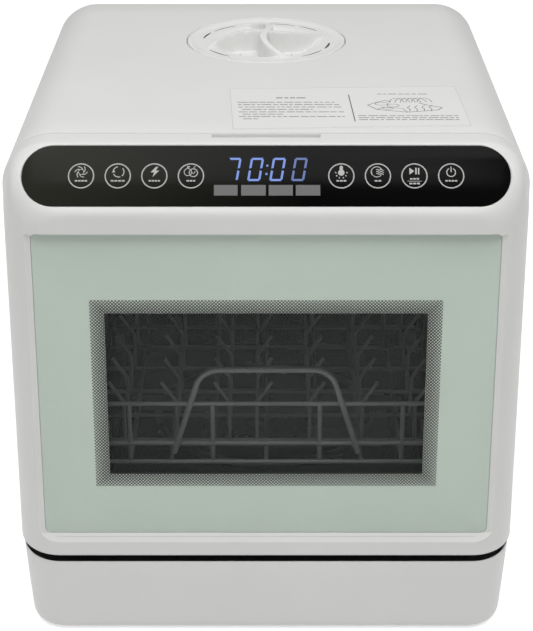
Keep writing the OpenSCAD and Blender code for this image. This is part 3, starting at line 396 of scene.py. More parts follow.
def clear_glass(name, tint, cover, gloss, rough=0.03):
    """Glass pane as a tinted gloss film. The faint drift in its roughness is what a wiped pane shows."""
    mat, n, l, bsdf = new_material(name)
    l.new(ranged(n, l, noise(n, l, 9), rough, rough + 0.03), bsdf.inputs["Roughness"])
    bsdf.inputs["Base Color"].default_value = (*tint, 1)
    bsdf.inputs["Alpha"].default_value = cover
    bsdf.inputs["Specular IOR Level"].default_value = gloss
    bsdf.inputs["IOR"].default_value = 1.5
    return mat


FRONT_GLASS = clear_glass("front_glass", (0.30, 0.33, 0.31), 0.03, 0.3)
INNER_GLASS = clear_glass("inner_glass", (0.05, 0.052, 0.051), 0.16, 0.08)


def black_glass():
    """Black control glass with faint wiping streaks. Its left end is lighter: a painted reflection."""
    mat, n, l, bsdf = new_material("black_glass")
    xyz = n.new("ShaderNodeSeparateXYZ")
    l.new(n.new("ShaderNodeTexCoord").outputs["Object"], xyz.inputs[0])
    # painted reflection: the base colour is lighter and warmer towards the left end of the control glass
    side = ranged(n, l, xyz.outputs["X"], 0.0, 1.0, -0.19, 0.03)
    l.new(tone(n, l, side, (0.0215, 0.0222, 0.0170), (0.0012, 0.0012, 0.0012)), bsdf.inputs["Base Color"])
    streaks = noise(n, l, 1.0, 3, squeeze=(6, 40, 120), turn=math.radians(24))
    l.new(ranged(n, l, streaks, 0.16, 0.30, 0.35, 0.75), bsdf.inputs["Roughness"])
    bsdf.inputs["Specular IOR Level"].default_value = 0.06
    return mat


BLACK_GLASS = black_glass()
MARK = plastic("mark_print", (0.40, 0.41, 0.39), (0.44, 0.45, 0.43), rough=0.5, relief=0.0)
LABEL_FILM = plastic("label_film", (0.70, 0.70, 0.685), (0.74, 0.74, 0.725), rough=0.3, relief=0.0)
LABEL_LINE = plastic("label_edge_line", (0.50, 0.50, 0.49), (0.54, 0.54, 0.53), rough=0.5, relief=0.0)
LABEL_INK = plastic("label_ink", (0.10, 0.10, 0.10), (0.16, 0.16, 0.16), rough=0.6, relief=0.0)
MARK_DIM = plastic("mark_print_grey", (0.095, 0.095, 0.095), (0.11, 0.11, 0.11), rough=0.5, relief=0.0)


def lit_digits(name, colour, strength):
    mat, n, l, bsdf = new_material(name)
    edge = tuple(c * 0.92 for c in colour)
    l.new(tone(n, l, noise(n, l, 300), edge, colour), bsdf.inputs["Emission Color"])
    bsdf.inputs["Emission Strength"].default_value = strength
    bsdf.inputs["Base Color"].default_value = (0.02, 0.02, 0.03, 1)
    return mat


DIGITS = lit_digits("lit_digits", (0.16, 0.27, 0.72), 1.0)
DIGITS_DIM = lit_digits("lit_digits_dim", (0.08, 0.14, 0.38), 1.0)

SLOT_MATERIAL = {"cover": COVER, "cap": CAP_PLASTIC, "dark_plastic": DARK, "grey_plastic": GREY,
                 "natural_plastic": NATURAL, "tub_plastic": TUB_PLASTIC, "tank_plastic": TANK_PLASTIC,
                 "soft_rubber": RUBBER, "zinc_sheet": ZINC, "steel": STEEL, "coated_wire": WIRE,
                 "tinted_glass": INNER_GLASS, "black_glass": BLACK_GLASS, "print": PRINT, "circuit": CIRCUIT,
                 "lens": LENS, "label": MARK}
for part in frame["record"]["subparts"]:
    piece = nodes[part["node"]]
    piece.data.materials.clear()
    piece.data.materials.append(SLOT_MATERIAL[part["material_slot"]])
nodes["door_seal"].data.materials[0] = SEAL_RUBBER


def place(piece, body, slot, *stands_for):
    """Puts a finished piece on its body, for the nodes it stands for. The slot is not used."""
    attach(piece, body)
    if stands_for:
        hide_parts(*stands_for)
    return piece


# ---- Camera, floor and light ----

def set_camera():
    cam = bpy.data.cameras.new("camera")
    cam.lens = 1941.3 * 36 / 631
    cam.clip_end = 50
    cam.shift_x = 0.0006
    obj = bpy.data.objects.new("camera", cam)
    bpy.context.scene.collection.objects.link(obj)
    obj.location = (0, -1.6335, 0.9298)
    obj.rotation_euler = (math.radians(90 - 24.18), 0, 0)
    bpy.context.scene.camera = obj


def lay_floor():
    mat, n, l, bsdf = new_material("pale_floor")
    bsdf.inputs["Base Color"].default_value = (0.86, 0.86, 0.86, 1)
    bsdf.inputs["Roughness"].default_value = 0.8
    path, emit, add = n.new("ShaderNodeLightPath"), n.new("ShaderNodeEmission"), n.new("ShaderNodeAddShader")
    seen = math_node(n, l, "MAXIMUM", path.outputs["Is Camera Ray"], path.outputs["Is Glossy Ray"])
    seen = math_node(n, l, "MAXIMUM", seen, path.outputs["Is Transmission Ray"])
    l.new(math_node(n, l, "MULTIPLY", seen, 0.55), emit.inputs["Strength"])
    l.new(bsdf.outputs[0], add.inputs[0])
    l.new(emit.outputs[0], add.inputs[1])
    l.new(add.outputs[0], n["Material Output"].inputs["Surface"])
    s = 6.0
    mesh = bpy.data.meshes.new("floor")
    mesh.from_pydata([(-s, -s, 0), (s, -s, 0), (s, s, 0), (-s, s, 0)], [], [(0, 1, 2, 3)])
    mesh.materials.append(mat)
    floor = bpy.data.objects.new("floor", mesh)
    bpy.context.scene.collection.objects.link(floor)


def soft_box(name, at, aim, size, power):
    lamp = bpy.data.lights.new(name, "AREA")
    lamp.shape = "RECTANGLE"
    lamp.size, lamp.size_y = size
    lamp.energy = power
    obj = bpy.data.objects.new(name, lamp)
    bpy.context.scene.collection.objects.link(obj)
    obj.location = at
    obj.rotation_euler = (Vector(aim) - Vector(at)).to_track_quat("-Z", "Y").to_euler()


def light_scene():
    world = bpy.data.worlds.new("studio")
    bpy.context.scene.world = world
    world.use_nodes = True
    n, l = world.node_tree.nodes, world.node_tree.links
    n["Background"].inputs["Color"].default_value = (1, 1, 1, 1)
    path = n.new("ShaderNodeLightPath")
    seen = math_node(n, l, "MAXIMUM", path.outputs["Is Camera Ray"], path.outputs["Is Transmission Ray"])
    l.new(math_node(n, l, "MULTIPLY_ADD", seen, 1.0 - AMBIENT, AMBIENT), n["Background"].inputs["Strength"])
    soft_box("top_light", (0, -0.85, 2.6), (0, -0.2, 0.2), (2.4, 2.0), TOP_POWER)
    soft_box("left_light", (-2.4, -0.9, 1.3), (0, 0, 0.2), (1.4, 1.8), SIDE_POWER)
    soft_box("right_light", (2.4, -0.9, 1.3), (0, 0, 0.2), (1.4, 1.8), SIDE_POWER)


AMBIENT, TOP_POWER, SIDE_POWER = 0.36, 53.0, 3.2
bpy.context.scene.view_settings.view_transform = "Standard"
set_camera()
lay_floor()
light_scene()


# ---- Door cover: one soft moulding round the glass and the control face ----

def smooth_max(a, b, k):
    h = np.clip(1 - np.abs(a - b) / np.maximum(k, 1e-6), 0, 1)
    return np.maximum(a, b) + h * h * k / 4


def smooth_step(x, lo, hi):
    t = np.clip((x - lo) / (hi - lo), 0, 1)
    return t * t * (3 - 2 * t)


def door_field(p):
    """How far points lie outside the door's outer form: negative inside it."""
    x, y, z = np.abs(p[:, 0]), p[:, 1], p[:, 2]
    x = x + np.maximum(y - LEAN_Y, 0) * SIDE_LEAN
    u, v = np.maximum(x - HALF_W + CORNER_W, 0), np.maximum(LEAN_Y - y, 0)
    q = np.sqrt((u / CORNER_W) ** 2 + (v / CORNER_D) ** 2) + 1e-9
    slope = np.sqrt((u / CORNER_W ** 2) ** 2 + (v / CORNER_D ** 2) ** 2) / q + 1e-9
    plan = np.where(q > 1e-6, (q - 1) / slope, -CORNER_W)
    plan = np.clip(plan, -CORNER_W, 80)
    facet = (y - FRONT_Y) * -math.cos(TILT) + (z - FACET_Z) * math.sin(TILT)
    a, b = x - HALF_W + TOP_R, z - TOP_Z + TOP_R
    section = np.sqrt(np.maximum(a, 0) ** 2 + np.maximum(b, 0) ** 2) + np.minimum(np.maximum(a, b), 0) - TOP_R
    end = smooth_step(x, 160, 196)
    shape = smooth_max(plan, facet, 2.2 + CORNER_SOFT * end)
    ahead = np.clip((LEAN_Y - y) / 15, 0, 1)
    high = smooth_step(z, 372, 400)
    shape = smooth_max(shape, section, (2.7 + CORNER_SOFT * end * high) * ahead)
    return smooth_max(shape, BODY_Z - z, 1.6)


CORNER_SOFT = 9.0


def settle(p, level=0.0, held=None, rounds=16):
    """Moves points square onto the door's form at a given level."""
    p = p.copy()
    for _ in range(rounds):
        f = door_field(p) - level
        g = np.zeros_like(p)
        for axis in range(3):
            d = np.zeros(3)
            d[axis] = 0.05
            g[:, axis] = (door_field(p + d) - door_field(p - d)) / 0.1
        if held is not None:
            g[held, 1] = 0
        gg = np.maximum((g * g).sum(1), 0.05)
        step = np.clip(f / gg, -8, 8)
        p -= g * step[:, None] * 0.9
    return p


def spread(*stops):
    """Lattice lines from (start, end, count) runs."""
    out = []
    for a, b, n in stops:
        out += [a + (b - a) * k / n for k in range(n)]
    return out + [stops[-1][1]]


def door_lattice():
    half = spread((0, 165, 9), (165, 180, 5), (180, 210, 16))
    xs = [-x for x in half[:0:-1]] + half
    zs = spread((78, 84, 4), (84, 376, 14), (376, 392, 8), (392, 431, 16))
    ys = spread((-229, -185, 20), (-185, -170.2, 4), (-170.2, -169.5, 1))
    return xs, ys, zs


def lattice_shell(xs, ys, zs):
    """Vertices and outward quads of a box lattice without its rear face, and its open rim."""
    index, verts, faces = {}, [], []

    def at(i, j, k):
        if (i, j, k) not in index:
            index[(i, j, k)] = len(verts)
            verts.append((xs[i], ys[j], zs[k]))
        return index[(i, j, k)]

    nx, ny, nz = len(xs) - 1, len(ys) - 1, len(zs) - 1
    for i in range(nx):
        for k in range(nz):
            faces.append((at(i, 0, k), at(i + 1, 0, k), at(i + 1, 0, k + 1), at(i, 0, k + 1)))
    for j in range(ny):
        for k in range(nz):
            faces.append((at(0, j, k), at(0, j, k + 1), at(0, j + 1, k + 1), at(0, j + 1, k)))
            faces.append((at(nx, j, k), at(nx, j + 1, k), at(nx, j + 1, k + 1), at(nx, j, k + 1)))
    for i in range(nx):
        for j in range(ny):
            faces.append((at(i, j, 0), at(i, j + 1, 0), at(i + 1, j + 1, 0), at(i + 1, j, 0)))
            faces.append((at(i, j, nz), at(i + 1, j, nz), at(i + 1, j + 1, nz), at(i, j + 1, nz)))
    rim = [at(i, ny, 0) for i in range(nx)] + [at(nx, ny, k) for k in range(nz)]
    rim += [at(i, ny, nz) for i in range(nx, 0, -1)] + [at(0, ny, k) for k in range(nz, 0, -1)]
    return np.array(verts, float), faces, rim


def door_cover():
    xs, ys, zs = door_lattice()
    outer, faces, rim = lattice_shell(xs, ys, zs)
    last = outer[:, 1] > ys[-1] - 0.01
    held = outer[:, 1] > -186
    out = settle(outer, 0.0, held)
    out[last] = settle(outer[last], -0.5, np.ones(last.sum(), bool))
    inside = outer.copy()
    inside[:, 0] *= (HALF_W - SHELL) / HALF_W
    y = inside[:, 1]
    inside[:, 1] = np.where(last, y, y + SHELL * (ys[-1] - y) / (ys[-1] - ys[0]))
    inside[:, 2] = 78 + SHELL + (inside[:, 2] - 78) * (353 - 2 * SHELL) / 353
    inside = settle(inside, -SHELL, held)
    n = len(outer)
    faces = list(faces) + [tuple(n + i for i in f[::-1]) for f in faces]
    for a, b in zip(rim, rim[1:] + rim[:1]):
        faces.append((a, a + n, b + n, b))
    cover = make_piece("door_cover", np.vstack([out, inside]), faces, COVER)
    turn_outwards(cover)

    grow, lip, land = 0.2, 6.5, 5.5
    half = GLASS_W / 2
    land_w = half + land
    # ring behind the glass, pads behind the control glass and round the finger slot
    ring = cutter(front_rings([
        (round_rect(-half - 4, GLASS_Z - 4, half + 4, GLASS_TOP + 4, 9), FRONT_Y + 3.2),
        (round_rect(-half - 4, GLASS_Z - 4, half + 4, GLASS_TOP + 4, 9), GLASS_Y + 5.4)]))
    pad = cutter(facet_rings([(pill_outline(PANEL_W + 7, PANEL_H + 5), -5.0),
                              (pill_outline(PANEL_W + 7, PANEL_H + 5), -2.6)]))
    slot_y1 = SEAM_Y - 3
    pocket = cutter(flat_rings([(round_rect(-46, slot_y1 - 10.5, 46, slot_y1 + 2.5, 1.5), TOP_Z - 16.5),
                                (round_rect(-46, slot_y1 - 10.5, 46, slot_y1 + 2.5, 1.5), TOP_Z - 2.6)]))
    carve(cover, [pad, pocket], "UNION")
    carve(cover, [ring], "UNION")
    # glass opening, its bevelled lower lip and the lands beside it
    opening = cutter(front_rings([
        (round_rect(-half - grow, GLASS_Z - grow, half + grow, GLASS_TOP + grow, 5.3), FRONT_Y - 1),
        (round_rect(-half - grow, GLASS_Z - grow, half + grow, GLASS_TOP + grow, 5.3), GLASS_Y + 3.4)]))
    behind = cutter(front_rings([
        (round_rect(-half + 6, GLASS_Z + 6, half - 6, GLASS_TOP - 6, 4), FRONT_Y),
        (round_rect(-half + 6, GLASS_Z + 6, half - 6, GLASS_TOP - 6, 4), GLASS_Y + 7)]))
    bevel = cutter([[(x, FRONT_Y - 1, GLASS_Z - lip * 1.2), (x, GLASS_Y, GLASS_Z), (x, GLASS_Y, GLASS_Z + 2),
                     (x, FRONT_Y - 1, GLASS_Z + 2)] for x in (-land_w, land_w)])
    back = FRONT_Y + CORNER_D * (1 - math.sqrt(1 - ((land_w - HALF_W + CORNER_W) / CORNER_W) ** 2))
    lands = []
    for s in (-1, 1):
        plan = [(s * (half - 1), FRONT_Y - 1), (s * land_w, FRONT_Y - 1), (s * land_w, back),
                (s * (half + 0.3), GLASS_Y), (s * (half - 1), GLASS_Y)]
        lands.append(cutter([[(x, y, z) for x, y in plan] for z in (GLASS_Z, GLASS_TOP - 1.5)]))
    # control glass recess with a small bright chamfer, opened behind
    recess = cutter(pill_rings((-0.2, -2.05), (-0.2, -0.9), (1.8, 0.1), (1.8, 3.0)))
    through = cutter(pill_rings((-8, -9), (-8, 0)))
    slot = cutter([[(x, slot_y1 - 8, TOP_Z + 1), (x, slot_y1 - 8, TOP_Z - 14), (x, slot_y1 - 4, TOP_Z - 14),
                    (x, slot_y1, TOP_Z + 0.2), (x, slot_y1, TOP_Z + 1)] for x in (-43, 43)])
    # open underside for the hinge arms, and the sweep past the seam
    def floor_slot(x0, x1, y0):
        y1, z0, z1 = SEAM_Y + 1, BODY_Z - 2, BODY_Z + 4
        return cutter([[(x, y0, z0), (x, y1, z0), (x, y1, z1), (x, y0, z1)] for x in (x0, x1)])

    under = floor_slot(-170, 170, HINGE_Y + 21.5)
    arms = [floor_slot(x0, x1, HINGE_Y - 8) for x0, x1 in ((-184.4, -178.5), (178.5, 184.4))]
    r = SEAM_Y - 0.5 - HINGE_Y - 0.2
    arc = [(HINGE_Y + r * math.cos(math.radians(a)), HINGE_Z + r * math.sin(math.radians(a)))
           for a in range(0, -30, -3)]
    arc = [(y, z) for y, z in arc if z > BODY_Z - 3]
    sweep = cutter([[(x, y, z) for y, z in [(SEAM_Y + 2, BODY_Z - 3), (SEAM_Y + 2, HINGE_Z)] + arc]
                    for x in (-212, 212)])
    carve(cover, [opening, behind, bevel, *lands, through, recess, slot, under, *arms, sweep])
    finish_shading(cover, 24)
    place(cover, "door", "cover", "door_frame")
    bosses = []
    for s in (-1, 1):
        rings = []
        for x, rad in ((184.8, 6.0), (193.5, 6.0)):
            rings.append([(s * x, HINGE_Y + rad * math.cos(a), HINGE_Z + rad * math.sin(a))
                          for a in [2 * math.pi * k / 24 for k in range(24)]])
        v, f = loft(rings)
        add_mesh(bosses, v, f)
    place_joined("hinge_bosses", bosses, COVER, "door", "cover")


door_cover()


# ---- Front glass, control glass and what is printed on it ----

def soft_plate(name, outline, y0, y1, bevel, material):
    """An upright plate whose front edges are eased."""
    rings = [(outline(0), y1), (outline(0), y0 + bevel),
             (outline(bevel * 0.3), y0 + bevel * 0.3), (outline(bevel), y0)]
    v, f = loft(front_rings(rings))
    return turn_outwards(make_piece(name, v, f, material))


def front_glass():
    half = GLASS_W / 2

    def inset(by):
        side, low, high = half - by, GLASS_Z + by, GLASS_TOP - by
        return lambda t: round_rect(-side + t, low + t, side - t, high - t, 5 - t)

    pane = soft_plate("front_pane", inset(0), GLASS_Y, GLASS_Y + 3, 0.5, FRONT_GLASS)
    place(pane, "door", "tinted_glass", "door_glass")
    # the print behind the pane: a thin plate with the window cut out of it
    plate = soft_plate("sage_print", inset(0.02), GLASS_Y + 0.35, GLASS_Y + 3.38, 0.1, PRINT)
    w, top = WINDOW_W / 2, WINDOW_Z + WINDOW_H
    window = cutter(front_rings([(round_rect(-w, WINDOW_Z, w, top, 1.5), GLASS_Y - 2),
                                 (round_rect(-w, WINDOW_Z, w, top, 1.5), GLASS_Y + 6)]))
    carve(plate, [window])
    place(plate, "door", "print", "glass_print")


front_glass()


def control_glass():
    rings = pill_rings((-0.6, -1.98), (-0.6, -0.75), (-0.9, -0.4), (-1.5, -0.25))
    v, f = loft(rings)
    plate = turn_outwards(make_piece("control_face", v, f, BLACK_GLASS))
    place(plate, "door", "black_glass", "control_glass")


control_glass()


# ---- Housing, base and rear ----

def housing_section(t, y, drop=0.0):
    """Half-turn outline of the housing set in by t at depth y, from the right foot over the roof."""
    lean = (y - LEAN_Y) * SIDE_LEAN
    pts = []
    for s in (1, -1):
        arc = []
        for k in range(25):
            a = math.radians(90 * k / 24)
            r = TOP_R - t
            arc.append((HALF_W - lean - TOP_R + r * math.cos(a), TOP_Z - TOP_R + r * math.sin(a)))
        side = [(HALF_W - lean - t, BODY_Z + drop), (HALF_W - lean - t, BODY_Z + drop + 0.6)]
        run = side + arc
        pts += [(s * x, z) for x, z in (run if s == 1 else run[::-1])]
    return [(x, y, z) for x, z in pts]


def housing_cover():
    y0, y1 = SEAM_Y + 0.5, REAR_Y
    outer = [housing_section(0.5, y0), housing_section(0.12, y0 + 0.15), housing_section(0, y0 + 0.6)]
    outer += [housing_section(0, y) for y in np.linspace(y0 + 30, y1 - 1.2, 12)]
    outer += [housing_section(0.3, y1 - 0.35), housing_section(1.0, y1)]
    inner = [housing_section(SHELL, y) for y in np.linspace(y1, y0, 14)]
    v, f = loft(outer + inner, loop=True)
    n, m = len(outer[0]), len(outer)
    total = len(outer) + len(inner)
    # the section is open below: swap the quads that would bridge its two feet for the wall's lower edge
    f = [q for q in f if not (q[0] % n == n - 1)]
    for side in (0, n - 1):
        rim_out = [i * n + side for i in range(m)]
        rim_in = [i * n + side for i in range(total - 1, m - 1, -1)]
        loop = rim_out + rim_in[::-1]
        f.append(tuple(loop if side == 0 else loop[::-1]))
    cover = turn_outwards(make_piece("housing_cover", v, f, COVER))
    turns = [2 * math.pi * k / 96 for k in range(96)]
    # the cap's hole, with a chamfered rim
    hole = [[((CAP_R + play) * math.cos(t), CAP_Y + (CAP_R + play) * math.sin(t), TOP_Z + up) for t in turns]
            for play, up in ((0.6, -8), (0.6, -0.9), (1.6, 0.12), (1.6, 3))]
    carve(cover, [cutter(hole)])
    finish_shading(cover, 24)
    place(cover, "machine", "cover", "housing")


housing_cover()


def ellipse_plan(t, y1, r_rear=12.0, steps=14):
    """Plan outline of the base set in by t: elliptical front corners, round rear ones."""
    pts = []
    hw = HALF_W
    def arc(cx, cy, w, d, a0):
        for k in range(steps + 1):
            a = math.radians(a0 + 90 * k / steps)
            pts.append((cx + w * math.cos(a), cy + d * math.sin(a)))
    arc(-hw + CORNER_W, FRONT_Y + CORNER_D, CORNER_W - t, CORNER_D - t, 180)
    arc(hw - CORNER_W, FRONT_Y + CORNER_D, CORNER_W - t, CORNER_D - t, 270)
    rr = r_rear
    arc(hw - t - rr, y1 - t - rr, rr, rr, 0)
    arc(-hw + t + rr, y1 - t - rr, rr, rr, 90)
    return pts


def base_cover():
    inset = 2.0
    rings = []
    def lean(z):
        return inset + BASE_LEAN * (RIM_Z - z)
    for k in range(7):
        a = math.radians(90 * k / 6)
        z = BASE_Z + 5 * (1 - math.cos(a))
        rings.append((ellipse_plan(lean(BASE_Z) + 5 * (1 - math.sin(a)), REAR_Y), z))
    rings += [(ellipse_plan(lean(z), REAR_Y), z) for z in (30, 55, RIM_Z - 0.8)]
    # a thin eased lip, then the inner wall down to the floor
    rings += [(ellipse_plan(lean(RIM_Z) + t, REAR_Y), RIM_Z - drop)
              for t, drop in ((0.15, 0.15), (0.4, 0), (0.9, 0), (1.5, 3))]
    rings += [(ellipse_plan(lean(30) + 3, REAR_Y), 30), (ellipse_plan(lean(8) + 4, REAR_Y), 5.5)]
    v, f = loft(flat_rings(rings))
    tray = turn_outwards(make_piece("base_cover", v, f, BASE_PLASTIC, sharp=40))
    place(tray, "machine", "cover", "base_tray")


base_cover()


# ---- Fill cap ----

CAP_TOP, DISH_R, DISH_DEEP, DISH_WALL = TOP_Z - 1.5, 50.0, 9.0, 16.0
GRIP_RISE, GRIP_REACH, FIN_T, FIN_BEND = 10.0, 58.0, 6.5, 42.0
FIN_ANGLES, SLOT_R, CAP_FOOT = (69, 159, 249, 339), 58.2, TOP_Z - 13.4


def arc_points(r0, r1, steps):
    return [r0 + (r1 - r0) * k / steps for k in range(steps + 1)]


def fin_distance(x, y):
    """Distance in plan to the nearest fin's middle line, and how far along it."""
    best = np.full(x.shape, 99.0)
    for a in FIN_ANGLES:
        t = math.radians(a)
        u, v = x * math.cos(t) + y * math.sin(t), -x * math.sin(t) + y * math.cos(t)
        d = np.where(u > -1.0, np.abs(np.hypot(u, v - FIN_BEND) - FIN_BEND), 99.0)
        best = np.minimum(best, d)
    return best


def cap_height(x, y):
    """Height of the cap's top surface over its flat rim."""
    r = np.hypot(x, y)
    dish = -DISH_DEEP * (1 - smooth_step(r, DISH_R - DISH_WALL - 3, DISH_R + 1.5))
    crest = np.interp(r, [0, 12, 24, 37, 47, 54, 58], [1, 0.985, 0.91, 0.65, 0.38, 0.13, 0.0]) * GRIP_RISE
    half = FIN_T / 2 * np.interp(r, [0, 14, 58], [1.3, 1.15, 0.7])
    d = fin_distance(x, y)
    wall = 1 - smooth_step(d, half - 0.7, half + 1.1)
    fin = np.where(r < GRIP_REACH, dish + (crest - dish) * wall, dish)
    rim = 1.45 * smooth_step(r, 64.5, 69.5) - 1.0 * smooth_step(r, CAP_R - 1.1, CAP_R + 0.1) ** 2
    return fin + rim


def fill_cap():
    around = 288
    radii = arc_points(1.0, 60, 84) + arc_points(61.5, 70, 5) + arc_points(70.6, CAP_R - 0.1, 4)
    rings = []
    angles = np.arange(around) * 2 * math.pi / around
    for r in radii:
        x, y = r * np.cos(angles), r * np.sin(angles)
        z = CAP_TOP + cap_height(x, y)
        rings.append([(a, CAP_Y + b, c) for a, b, c in zip(x, y, z)])
    edge = [(a, b, CAP_FOOT) for a, b, c in rings[-1]]
    under = [(a * 0.55, CAP_Y + (b - CAP_Y) * 0.55, CAP_FOOT) for a, b, c in rings[-1]]
    verts, faces = loft(rings + [edge, under])
    return turn_outwards(make_piece("cap_top", verts, faces, CAP_PLASTIC, sharp=50))


def cap_slot_shade_and_marks():
    """Thin near-black strips as painted shade in the slots of the cap's rim, and the two small dark marks in
    its dish.
    """
    parts = []
    # painted shade: each slot is a flat near-black strip on the rim standing for the shade inside the gap
    for a0, a1, w in ((36, 57, 1.1), (62, 88, 0.8), (119, 146, 1.0), (152, 171, 1.7), (209, 236, 1.2),
                      (304, 329, 1.2), (336, 354, 2.0)):
        steps = 14
        rings = []
        for k in range(steps + 1):
            t = math.radians(a0 + (a1 - a0) * k / steps)
            taper = max(0.25, math.sin(math.pi * min(max(k / steps, 0.06), 0.94)) ** 0.4)
            near, far = SLOT_R - w * taper / 2, SLOT_R + w * taper / 2
            rings.append([(r * math.cos(t), CAP_Y + r * math.sin(t), CAP_TOP + h)
                          for r, h in ((near, -0.3), (far, -0.3), (far, 0.06), (near, 0.06))])
        add_mesh(parts, *loft(rings))
    for x in (-23.5, 23.5):
        y = -37.6
        z = CAP_TOP + float(cap_height(np.array([x]), np.array([y]))[0])
        rings = []
        for h in (-0.5, 0.15):
            turns = [2 * math.pi * k / 16 for k in range(16)]
            rings.append([(x + 1.6 * math.cos(t), CAP_Y + y + 1.1 * math.sin(t),
                           z + h + 0.42 * math.sin(t) * 1.1) for t in turns])
        add_mesh(parts, *loft(rings))
    return turn_outwards(join_shapes("cap_slot_shade_and_marks", parts, DARK))


def make_cap():
    place(fill_cap(), "cap", "cap", "fill_cap", "cap_ridges")
    place(cap_slot_shade_and_marks(), "cap", "dark_plastic")


make_cap()


# ---- Leaflet label on the roof ----

LABEL_AT, LABEL_TURN = (67.0, -103.0), math.radians(2.4)
LABEL_W, LABEL_D = 96.3, 53.3
# rows of dashes in the left field: place up the label, start and end
LEFT_ROWS = ((15.9, -90, -10), (9.6, -90, -4), (3.2, -90, -4), (-3.2, -87, -29), (-9.6, -90, -4),
             (-15.6, -87, -52), (-21.6, -90, -4), (-27.6, -87, -75))


def on_label(u, v, up):
    c, s = math.cos(LABEL_TURN), math.sin(LABEL_TURN)
    return (LABEL_AT[0] + u * c - v * s, LABEL_AT[1] + u * s + v * c, TOP_Z + up)


def label_bar(parts, u0, v0, u1, v1, w, up=0.22):
    """A printed stroke from one point to another."""
    d = math.hypot(u1 - u0, v1 - v0) or 1
    nx, ny = -(v1 - v0) / d * w / 2, (u1 - u0) / d * w / 2
    ring = [(u0 + nx, v0 + ny), (u1 + nx, v1 + ny), (u1 - nx, v1 - ny), (u0 - nx, v0 - ny)]
    v, f = loft([[on_label(a, b, h) for a, b in ring] for h in (0.1, up)])
    add_mesh(parts, v, f)


def label_path(parts, pts, w):
    for a, b in zip(pts, pts[1:]):
        label_bar(parts, *a, *b, w)


def printed_row(parts, u0, v, u1, w, seed):
    """One row of plain dashes of uneven length, in the place of a line of print."""
    rng = np.random.default_rng(seed)
    u = u0
    while u < u1 - 1.5:
        run = min(float(rng.uniform(2.2, 8.5)), u1 - u)
        label_bar(parts, u, v + (u - u0) * -0.04, u + run, v + (u + run - u0) * -0.04, w)
        u += run + float(rng.uniform(0.9, 1.6))


def make_label():
    outline = round_rect(-LABEL_W, -LABEL_D, LABEL_W, LABEL_D, 2, 4)
    rings = [[on_label(a, b, h) for a, b in outline] for h in (0.0, 0.17)]
    v, f = loft(rings)
    sheet = turn_outwards(make_piece("label_sheet", v, f, LABEL_FILM))
    place(sheet, "machine", "label", "tips_label")
    edge = []
    label_path(edge, round_rect(-95.6, -52.6, 95.6, 52.6, 2, 4) + [(95.6, -50.6)], 0.5)
    place_joined("label_edge", edge, LABEL_LINE, "machine", "label")
    ink = []
    printed_row(ink, -57.6, 26.4, -31.1, 2.0, 1)
    for k, (v0, u0, u1) in enumerate(LEFT_ROWS):
        printed_row(ink, u0, v0, u1, 1.25, 10 + k)
    printed_row(ink, 27.7, 33.4, 71, 1.2, 30)
    for k, v0 in enumerate((-23.6, -28.6, -33.6)):
        printed_row(ink, 6.9, v0, 88, 1.2, 40 + k)
    label_bar(ink, 3.5, 32.4, 3.3, -37.8, 0.9)
    # plain line drawing: a low basket with a stack of round plates and two bowls
    for k in range(6):
        cu = 42 + k * 4.6
        label_path(ink, [(cu + 6.5 * math.cos(t), 6 + 15 * math.sin(t))
                         for t in [math.pi * q / 12 for q in range(1, 12)]], 0.55)
    label_path(ink, [(17, 4), (24, -8), (48, -16), (74, -11), (78, -5), (66, 2), (60, 8)], 0.8)
    label_path(ink, [(17, 4), (25, 11), (33, 16), (37, 12)], 0.7)
    label_path(ink, [(24, -8), (29, -2), (45, -6), (48, -16)], 0.6)
    for cu, cv, ru, rv in ((29, 7, 5.5, 4.0), (38, 2, 5.0, 3.6), (33, -5, 4.4, 2.8)):
        label_path(ink, [(cu + ru * math.cos(t), cv + rv * math.sin(t))
                         for t in [2 * math.pi * q / 14 for q in range(15)]], 0.55)
    for cu in (50, 56, 62, 68):
        label_path(ink, [(cu, -14), (cu + 1, -8), (cu - 1, -4), (cu + 2, 1)], 0.6)
    place_joined("label_print", ink, LABEL_INK, "machine", "label")


make_label()


# ---- Pieces made by Geometry Nodes ----

def new_tree(name, *sizes):
    """A tree with a geometry input and named sizes."""
    tree = bpy.data.node_groups.new(name, "GeometryNodeTree")
    rows = [("Geometry", "INPUT", "Geometry"), *((size, "INPUT", "Float") for size in sizes),
            ("Geometry", "OUTPUT", "Geometry")]
    for label, way, kind in rows:
        tree.interface.new_socket(name=label, in_out=way, socket_type="NodeSocket" + kind)
    return tree, tree.nodes, tree.links, tree.nodes.new("NodeGroupInput"), tree.nodes.new("NodeGroupOutput")


def end_tree(n, l, shape, go, material):
    real, paint = n.new("GeometryNodeRealizeInstances"), n.new("GeometryNodeSetMaterial")
    paint.inputs["Material"].default_value = material
    l.new(shape, real.inputs["Geometry"])
    l.new(real.outputs["Geometry"], paint.inputs["Geometry"])
    l.new(paint.outputs["Geometry"], go.inputs["Geometry"])


def grow_piece(name, verts, edges, tree, sizes):
    """Runs a tree on points and edges and keeps the result as a plain mesh."""
    mesh = bpy.data.meshes.new(name)
    mesh.from_pydata(verts, edges, [])
    piece = bpy.data.objects.new(name, mesh)
    bpy.context.scene.collection.objects.link(piece)
    mod = piece.modifiers.new(name, "NODES")
    mod.node_group = tree
    ids = {item.name: item.identifier for item in tree.interface.items_tree if item.in_out == "INPUT"}
    for size, value in sizes.items():
        mod[ids[size]] = value
    return apply_modifiers(piece)


# ---- Marks on the control glass ----

FACE_OUT = -0.25


def face_prism(parts, outline, u0=0.0, v0=0.0, size=1.0, out=0.05):
    """A flat printed shape on the control face, from an outline in millimetres."""
    rings = [[on_facet(u0 + size * u, v0 + size * v, FACE_OUT + h) for u, v in outline] for h in (-0.03, out)]
    add_mesh(parts, *loft(rings))


